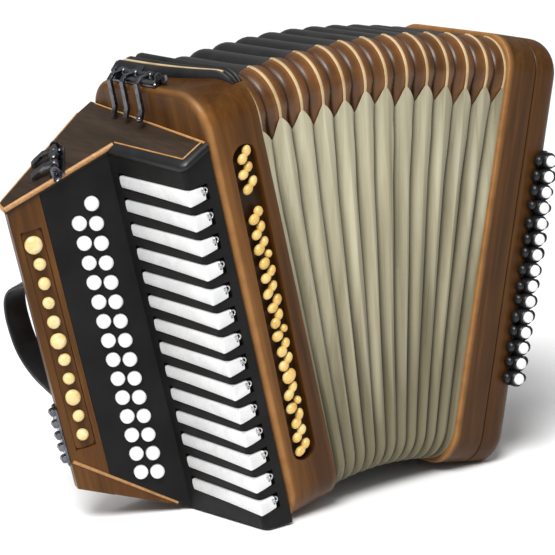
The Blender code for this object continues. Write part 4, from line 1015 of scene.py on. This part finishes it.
# Hand strap --------------------------------------------------------------------------------------
def strap():
    foot = plan(TIP_BACK + STRAP_AT * ALONG_BACK, 0)
    matrix = TREBLE @ frame_matrix(foot, plan_way(OUT_OF_BACK), (0, 0, 1))
    rest = GAP + STRAP_THICK / 2
    low_rest = rest + 0.002 + GAP
    path = [(rest, 0.246), (rest, 0.234), (rest + 0.004, 0.229), (0.015, 0.226), (0.027, 0.221),
            (0.034, 0.212), (0.037, 0.199), (0.037, 0.184), (0.035, 0.170), (0.030, 0.158),
            (0.022, 0.147), (0.013, 0.139), (low_rest + 0.002, 0.133), (low_rest, 0.127),
            (low_rest, 0.104)]
    line = smooth_path([Vector((x, y, 0)) for x, y in path], 5)
    half, thick = STRAP_WIDE / 2, STRAP_THICK / 2

    side = [(half - 0.0009 + 0.0009 * math.cos(t), (thick - 0.0002) * math.sin(t))
            for t in (math.pi * (-0.5 + i / 6) for i in range(7))]
    crown = [(half * k, thick * (1.0 - 0.10 * k * k)) for k in (0.75, 0.4, 0.0, -0.4, -0.75)]
    section = side + crown + [(-x, -y) for x, y in side + crown]
    up = matrix.to_3x3()
    across = up @ Vector((0, 0, 1))

    def over(i):
        way = line[min(i + 1, len(line) - 1)] - line[max(i - 1, 0)]
        return up @ Vector((way.y, -way.x, 0)) * -1

    bm = bmesh.new()
    add_sweep(bm, [matrix @ p for p in line], section, over)
    band = finish_mesh("strap_band", bm, [BLACK_LEATHER], 50)

    def wear_and_sheen(point):
        return falloff(abs((point - matrix.translation).dot(across)) - half, 0.0016)

    paint_attribute(band, "wear_and_sheen", wear_and_sheen)
    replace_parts(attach(band, "treble"), "hand_strap")
    bm = bmesh.new()
    length, stitch = 0.0, 0.0045
    for one, two in zip(line, line[1:]):
        length += (two - one).length
        if length < stitch:
            continue
        length -= stitch
        way = (two - one).normalized()
        out = Vector((way.y, -way.x, 0))
        out = out if out.x > 0 or abs(out.x) < 1e-6 else -out
        for side in (-1, 1):
            spot = two + out * (thick * 0.93) + Vector((0, 0, side * (half - 0.0024)))
            turn = frame_matrix(spot, way, out)
            add_ball(bm, matrix @ turn, (0.0014, 0.00035, 0.00045), 8, 6)
    threads = finish_mesh("strap_stitches", bm, [THREAD], 60)
    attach(threads, "treble")
    bm = bmesh.new()
    pad = [Vector((p.x - thick - 0.0008, p.y, 0)) for p in line if p.y > 0.2225][8:]
    add_sweep(bm, [matrix @ p for p in pad], oval(half - 0.003, 0.0007, 14), over)
    lining = finish_mesh("strap_lining", bm, [LINING], 60)
    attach(lining, "treble")
    soften("strap_buckle", [GUNMETAL], 0.0004, 2)


# Bellows -----------------------------------------------------------------------------------------
RING_HALF = DEPTH / 2 - BELLOWS_INSET
RING_TOP = HEIGHT - BELLOWS_DROP
ACROSS = 20  # columns of a skin, from one ridge to the next
BROWN_FROM = -0.046  # where the black leather of the bellows' top gives way to brown, towards the front
BROWN_DOWN = 0.052  # how far down the front the brown goes, behind the cloth's tips
TOP_DEEP, CORNER_DEEP, FRONT_DEEP, BACK_DEEP = 0.013, 0.0032, 0.0152, 0.014  # depths of a valley


def ring_path():
    """Round a ridge: (y, w, outward direction, how deep the valley is, zone), from the top's back end."""
    y0, w0, w1 = RING_HALF - CORNER_R, BELLOWS_INSET + CORNER_R, RING_TOP - CORNER_R
    found = []

    def straight(start, end, out, steps, deep, zone):
        for i in range(steps):
            p = Vector(start).lerp(Vector(end), i / steps)
            found.append((p, Vector(out), deep(i / steps) if callable(deep) else deep, zone))

    def round_corner(centre, start, steps, deep, zone):
        for i in range(steps):
            t = math.radians(start + 90 * i / steps)
            out = Vector((math.cos(t), math.sin(t)))
            depth = deep(i / steps) if callable(deep) else deep
            found.append((Vector(centre) + out * CORNER_R, out, depth, zone))

    def top_deep(t):
        return TOP_DEEP - (TOP_DEEP - CORNER_DEEP) * max(0, t - 0.74) / 0.26

    def front_deep(t):
        return CORNER_DEEP + (FRONT_DEEP - CORNER_DEEP) * min(1, t / 0.22)

    straight((y0, RING_TOP), (-y0, RING_TOP), (0, 1), 20, top_deep, "top")
    round_corner((-y0, w1), 90, 14, CORNER_DEEP, "corner")
    straight((-RING_HALF, w1), (-RING_HALF, w0), (-1, 0), 30, front_deep, "front")
    round_corner((-y0, w0), 180, 12, FRONT_DEEP, "under")
    straight((-y0, BELLOWS_INSET), (y0, BELLOWS_INSET), (0, -1), 10, BACK_DEEP, "bottom")
    round_corner((y0, w0), 270, 10, BACK_DEEP, "back")
    straight((RING_HALF, w0), (RING_HALF, w1), (1, 0), 24, BACK_DEEP, "back")
    round_corner((y0, w1), 0, 10, TOP_DEEP, "back")
    return found


def between(k, u):
    """The frame at share u of the way from ridge k to the next one."""
    return RIDGES[k] @ slide_x(FOLD_PITCH / 2) @ turn_y(STEP * u) @ slide_x((u - 0.5) * FOLD_PITCH)


def valley(u, power=2.0):
    """0 on the ridges and 1 in the valley, with round ridges and a sharp valley."""
    q = 1 - abs(2 * u - 1)
    return 1 - max(0.0, 1 - q ** power) ** 0.5


def ride_between(obj, k, shares):
    """Makes a skin follow both of its ridges. The share of each vertex is its own place between them."""
    mid = HEIGHT / 2
    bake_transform(obj, RIDERS[k], RIDERS[k + 1], start=RIDGES[k] @ Vector((0, 0, mid)),
             end=RIDGES[k + 1] @ Vector((0, 0, mid)))
    obj.data.attributes["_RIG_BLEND"].data.foreach_set("value", shares)


def sheet_mesh(name, columns, thick, inward, materials, indices=None, closed=False):
    """A thin closed shell: columns of points outside, and the same set in by thick behind them."""
    bm = bmesh.new()
    front = [[bm.verts.new(p) for p in column] for column in columns]
    back = [[bm.verts.new(p + n * thick) for p, n in zip(column, normals)]
            for column, normals in zip(columns, inward)]
    rows = len(columns[0])
    index_of = indices or [0] * rows
    span = range(rows if closed else rows - 1)
    for c in range(len(columns) - 1):
        for r in span:
            s = (r + 1) % rows
            for grid, flip in ((front, False), (back, True)):
                quad = [grid[c][r], grid[c + 1][r], grid[c + 1][s], grid[c][s]]
                face = bm.faces.new(quad[::-1] if flip else quad)
                face.material_index = index_of[r]
    for c in (0, len(columns) - 1):
        for r in span:
            s = (r + 1) % rows
            bm.faces.new((front[c][r], front[c][s], back[c][s], back[c][r])).material_index = index_of[r]
    if not closed:
        for r in (0, rows - 1):
            for c in range(len(columns) - 1):
                bm.faces.new((front[c][r], front[c + 1][r], back[c + 1][r], back[c][r]))
    return finish_mesh(name, bm, materials, 75)


def skin_shares(columns, rows):
    """The shares in the order that sheet_mesh makes vertices: all the front ones, then all the back ones."""
    return [u for u in columns for _ in range(rows)] * 2


def bellows():
    rng = random.Random(21)
    ring = ring_path()
    indices = []
    for p, _, _, zone in ring:
        brown = zone == "corner" or (zone == "front" and p.y > RING_TOP - CORNER_R - BROWN_DOWN) \
            or (zone == "top" and p.x < BROWN_FROM)
        indices.append(1 if brown else 0)
    tips = [RING_TOP - 0.0375 + rng.uniform(-0.0035, 0.0025) for _ in range(FOLDS + 2)]
    for k in range(FOLDS + 1):
        us = [i / ACROSS for i in range(ACROSS + 1)]
        columns, inward, shades = [], [], []
        for u in us:
            place = between(k, u)
            column, normals = [], []
            for p, out, deep, zone in ring:
                drop = deep * valley(u)
                under = 0.0
                if zone in ("front", "under"):
                    under = 0.0016 * min(1, (RING_TOP - CORNER_R - p.y) / 0.006)
                q = p - out * (drop + under)
                column.append(place @ Vector((0, q.x, q.y)))
                normals.append(place.to_3x3() @ Vector((0, -out.x, -out.y)))
                shades.append(valley(u))
            columns.append(column)
            inward.append(normals)
        skin = sheet_mesh(f"bellows_skin_{k + 1:02d}", columns, 0.0007, inward,
                          [BLACK_LEATHER, BROWN_LEATHER], indices, closed=True)
        store(skin, "shade", shades + shades)
        # the ridges paler: wear, and a painted sheen on their crests
        store(skin, "wear_and_sheen", [max(0, 0.6 - 6 * s) for s in shades + shades])
        ride_between(skin, k, skin_shares(us, len(ring)))
        if k:
            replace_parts(skin, f"fold_{k:02d}")
        cloth_pleat(k, us, tips, rng)
    piping(tips)


def cloth_pleat(k, us, tips, rng):
    """The ivory cloth on the front between two ridges, with leaf-shaped tips over the ridges."""
    notch = min(tips[k], tips[k + 1]) - rng.uniform(0.013, 0.017)
    low_turn = math.radians(84)  # how far the cloth goes round the bottom corner
    y0, w0 = RING_HALF - CORNER_R, BELLOWS_INSET + CORNER_R
    rows = 56
    columns, inward, shades, shade_and_tone_values = [], [], [], []
    seed = rng.uniform(0, 50)
    minor = rng.uniform(0.62, 0.80)
    for u in us:
        place = between(k, u)
        side = abs(2 * u - 1)
        tip = tips[k] if u < 0.5 else tips[k + 1]
        top = notch + (tip - notch) * (0.55 * side + 0.45 * math.sin(side * math.pi / 2))
        round_part = CORNER_R * low_turn
        total = (top - w0) + round_part
        column, normals = [], []
        for r in range(rows):
            s = total * r / (rows - 1)
            if s < top - w0:
                p, out = Vector((-RING_HALF, top - s)), Vector((-1, 0))
            else:
                t = math.pi + (s - (top - w0)) / CORNER_R
                out = Vector((math.cos(t), math.sin(t)))
                p = Vector((-y0, w0)) + out * CORNER_R
            deep = 0.0034 + 0.0112 * min(1, s / 0.065)
            wave = noise.noise(Vector((u * 2.6 + seed, p.y * 9, seed)))
            q = 1 - side
            small = 0.0022 * math.exp(-(((q - minor) / 0.11) ** 2)) * min(1, s / 0.03) * (0.6 + wave)
            drop = deep * valley(u, 1.9) - small + 0.0007 * wave * q
            drop -= 0.0009 * max(0, 1 - s / 0.006) * side
            spot = p - out * max(0.0, drop)
            column.append(place @ Vector((0, spot.x, spot.y)))
            normals.append(place.to_3x3() @ Vector((0, -out.x, -out.y)))
            # painted shade: darkest in the valley and near the bottom corner
            low = max(0, 1 - (total - s) / 0.03)
            shades.append(min(1, 0.95 * valley(u) ** 0.8 + 0.5 * low ** 2))
            # painted shade lower down and towards the bass side, plus random tone from the noise
            height = max(0, 1 - p.y / 0.30)
            along = k / FOLDS
            shade_and_tone = 0.10 * (1 - along) + 0.60 * along ** 2.2 + 1.25 * height ** 1.8 + 0.45 * wave
            shade_and_tone_values.append(min(1, max(0, shade_and_tone)))
        columns.append(column)
        inward.append(normals)
    obj = sheet_mesh(f"bellows_cloth_{k + 1:02d}", columns, 0.0008, inward, [CLOTH])
    store(obj, "shade", shades + shades)
    store(obj, "shade_and_tone", shade_and_tone_values + shade_and_tone_values)
    ride_between(obj, k, skin_shares(us, rows))


def piping(tips):
    """A cream leather band over each ridge at the front top corner."""
    y0 = RING_HALF - CORNER_R
    for k, (matrix, rider) in enumerate(zip(RIDGES, RIDERS)):
        end = tips[k] - 0.002
        start = BROWN_FROM
        points, outs = [], []
        for i in range(6):
            points.append(Vector((start + (-y0 - start) * i / 6, RING_TOP)))
            outs.append(Vector((0, 1)))
        for i in range(13):
            t = math.radians(90 + 90 * i / 12)
            out = Vector((math.cos(t), math.sin(t)))
            points.append(Vector((-y0, RING_TOP - CORNER_R)) + out * CORNER_R)
            outs.append(out)
        top = RING_TOP - CORNER_R
        for i in range(1, 9):
            points.append(Vector((-RING_HALF + 0.0011 * (i / 8) ** 2, top + (end - top) * i / 8)))
            outs.append(Vector((-1, 0)))
        bm = bmesh.new()
        shift = 0.0012 if k == 0 else -0.0012 if k == len(RIDGES) - 1 else 0.0
        lifted = [p + o * 0.0002 for p, o in zip(points, outs)]
        spots = [matrix @ Vector((shift, p.x, p.y)) for p in lifted]
        turned = [matrix.to_3x3() @ Vector((0, o.x, o.y)) for o in outs]
        add_sweep(bm, spots, lambda t: oval(0.0017 - 0.0004 * t, 0.0010 * (1 - 0.4 * t)), lambda i: turned[i])
        obj = finish_mesh(f"bellows_piping_{k:02d}", bm, [PIPING], 60)
        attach(obj, rider)


def leather_apron():
    """The bellows' black leather where it is folded over the top of the treble casing."""
    bm, edge = bmesh.new(), bmesh.new()
    stations, across = 34, 42
    length, start, bend = 0.1285, 0.0655, 0.045
    loops, line = [], []
    for i in range(stations + 1):
        v = i / stations
        y, t = start - length * v, 0.0
        if y < -bend:
            y, t = -bend, (length * v - start - bend) / CORNER_R
        out = Vector((0, -math.sin(t), math.cos(t)))
        root = Vector((0, y, HEIGHT - CORNER_R)) + out * CORNER_R
        left, right = -0.0310 + 0.0215 * v ** 2.2, 0.0004
        tall = 0.0088 * (1 - 0.35 * v) * min(1, v / 0.06 + 0.35) * min(1, ((1 - v) / 0.09 + 0.01) ** 0.5)
        loop = []
        for j in range(across + 1):
            w = j / across
            hump = abs(math.sin(3 * math.pi * w)) ** 0.75
            rise = tall * (0.20 + 0.80 * hump) * (1 - 0.25 * w)
            loop.append(TREBLE @ (root + Vector((left + (right - left) * w, 0, 0)) + out * (0.0002 + rise)))
        loop += [TREBLE @ (root + Vector((x, 0, 0)) - out * 0.0006) for x in (right, left)]
        loops.append(loop)
        seam = Vector((left + (right - left) * 0.36, 0, 0))
        line.append(TREBLE @ (root + seam + out * (0.0006 + tall * 0.62)))
    add_loops(bm, loops)
    obj = finish_mesh("leather_apron", bm, [BLACK_LEATHER], 60)
    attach(obj, "treble")
    add_sweep(edge, line[1:-3], oval(0.0012, 0.0013), TREBLE.to_3x3() @ Vector((1, 0, 0)))
    obj = finish_mesh("apron_piping", edge, [PIPING], 60)
    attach(obj, "treble")


# Carried-over CAD nodes --------------------------------------------------------------------------
GLOSS_BLACK = leather("moulded_black", (0.0045, 0.0045, 0.005), (0.011, 0.011, 0.012), (0.26, 0.40), 700,
                      0.04, 0.1)


def carried():
    soften("keyboard_wing", [SHADED_WING_WOOD, WORN_WOOD], 0.0016, 4, 1)
    soften("fingerboard", [BLACK], 0.0004, 2)
    soften("treble_reed_block", [REED_WOOD], 0.0004, 2)
    soften("bass_reed_block", [REED_WOOD], 0.0004, 2)
    soften("key_axle", [STEEL], 0.0003, 2)


# Floor, light and camera -------------------------------------------------------------------------
def studio():
    mesh = bpy.data.meshes.new("floor")
    size = 14.0
    corners = [(x * size, y * size, -0.0004) for x, y in ((-1, -1), (1, -1), (1, 1), (-1, 1))]
    mesh.from_pydata(corners, [], [(0, 1, 2, 3)])
    p = Paint("studio_floor", 0.9, specular=0.2)
    new_object("floor", mesh, p.done((0.95, 0.95, 0.95)))
    world = bpy.data.worlds.new("studio")
    world.use_nodes = True
    world.node_tree.nodes["Background"].inputs["Color"].default_value = (1, 1, 1, 1)
    world.node_tree.nodes["Background"].inputs["Strength"].default_value = 0.36
    bpy.context.scene.world = world
    sun = bpy.data.lights.new("key_light", "SUN")
    sun.energy, sun.angle = 3.0, math.radians(24)
    obj = bpy.data.objects.new("key_light", sun)
    bpy.context.scene.collection.objects.link(obj)
    obj.rotation_euler = Vector((-1.15, -0.95, 1.75)).to_track_quat("Z", "Y").to_euler()
    lamp = bpy.data.lights.new("soft_box", "AREA")
    lamp.size, lamp.energy = 1.2, 18
    obj = bpy.data.objects.new("soft_box", lamp)
    bpy.context.scene.collection.objects.link(obj)
    obj.location = (-0.9, -0.2, 1.7)
    obj.rotation_euler = (obj.location - Vector((0, 0, 0.2))).to_track_quat("Z", "Y").to_euler()
    bpy.context.scene.view_settings.view_transform = "Standard"


def camera():
    azimuth, height, roll = math.radians(37.85), math.radians(13.35), math.radians(-2.07)
    distance, target = 2.011, Vector((-0.009, -0.0008, 0.178))
    level = math.cos(height)
    back = Vector((-math.sin(azimuth) * level, -math.cos(azimuth) * level, math.sin(height)))
    right = Vector((math.cos(azimuth), -math.sin(azimuth), 0))
    up = back.cross(right)
    right, up = (math.cos(roll) * right + math.sin(roll) * up, -math.sin(roll) * right + math.cos(roll) * up)
    lens = bpy.data.cameras.new("camera")
    lens.sensor_width, lens.lens = 36, 161.6
    lens.clip_start, lens.clip_end = 0.1, 60
    obj = bpy.data.objects.new("camera", lens)
    bpy.context.scene.collection.objects.link(obj)
    turn = Matrix((right, up, back)).transposed().to_4x4()
    obj.matrix_world = Matrix.Translation(target + back * distance) @ turn
    bpy.context.scene.camera = obj


treble_case()
bead_row()
bass_case()
bass_side_buttons()
keys()
treble_buttons()
stud_row()
lid()
latches()
strap()
bellows()
leather_apron()
carried()
studio()
camera()
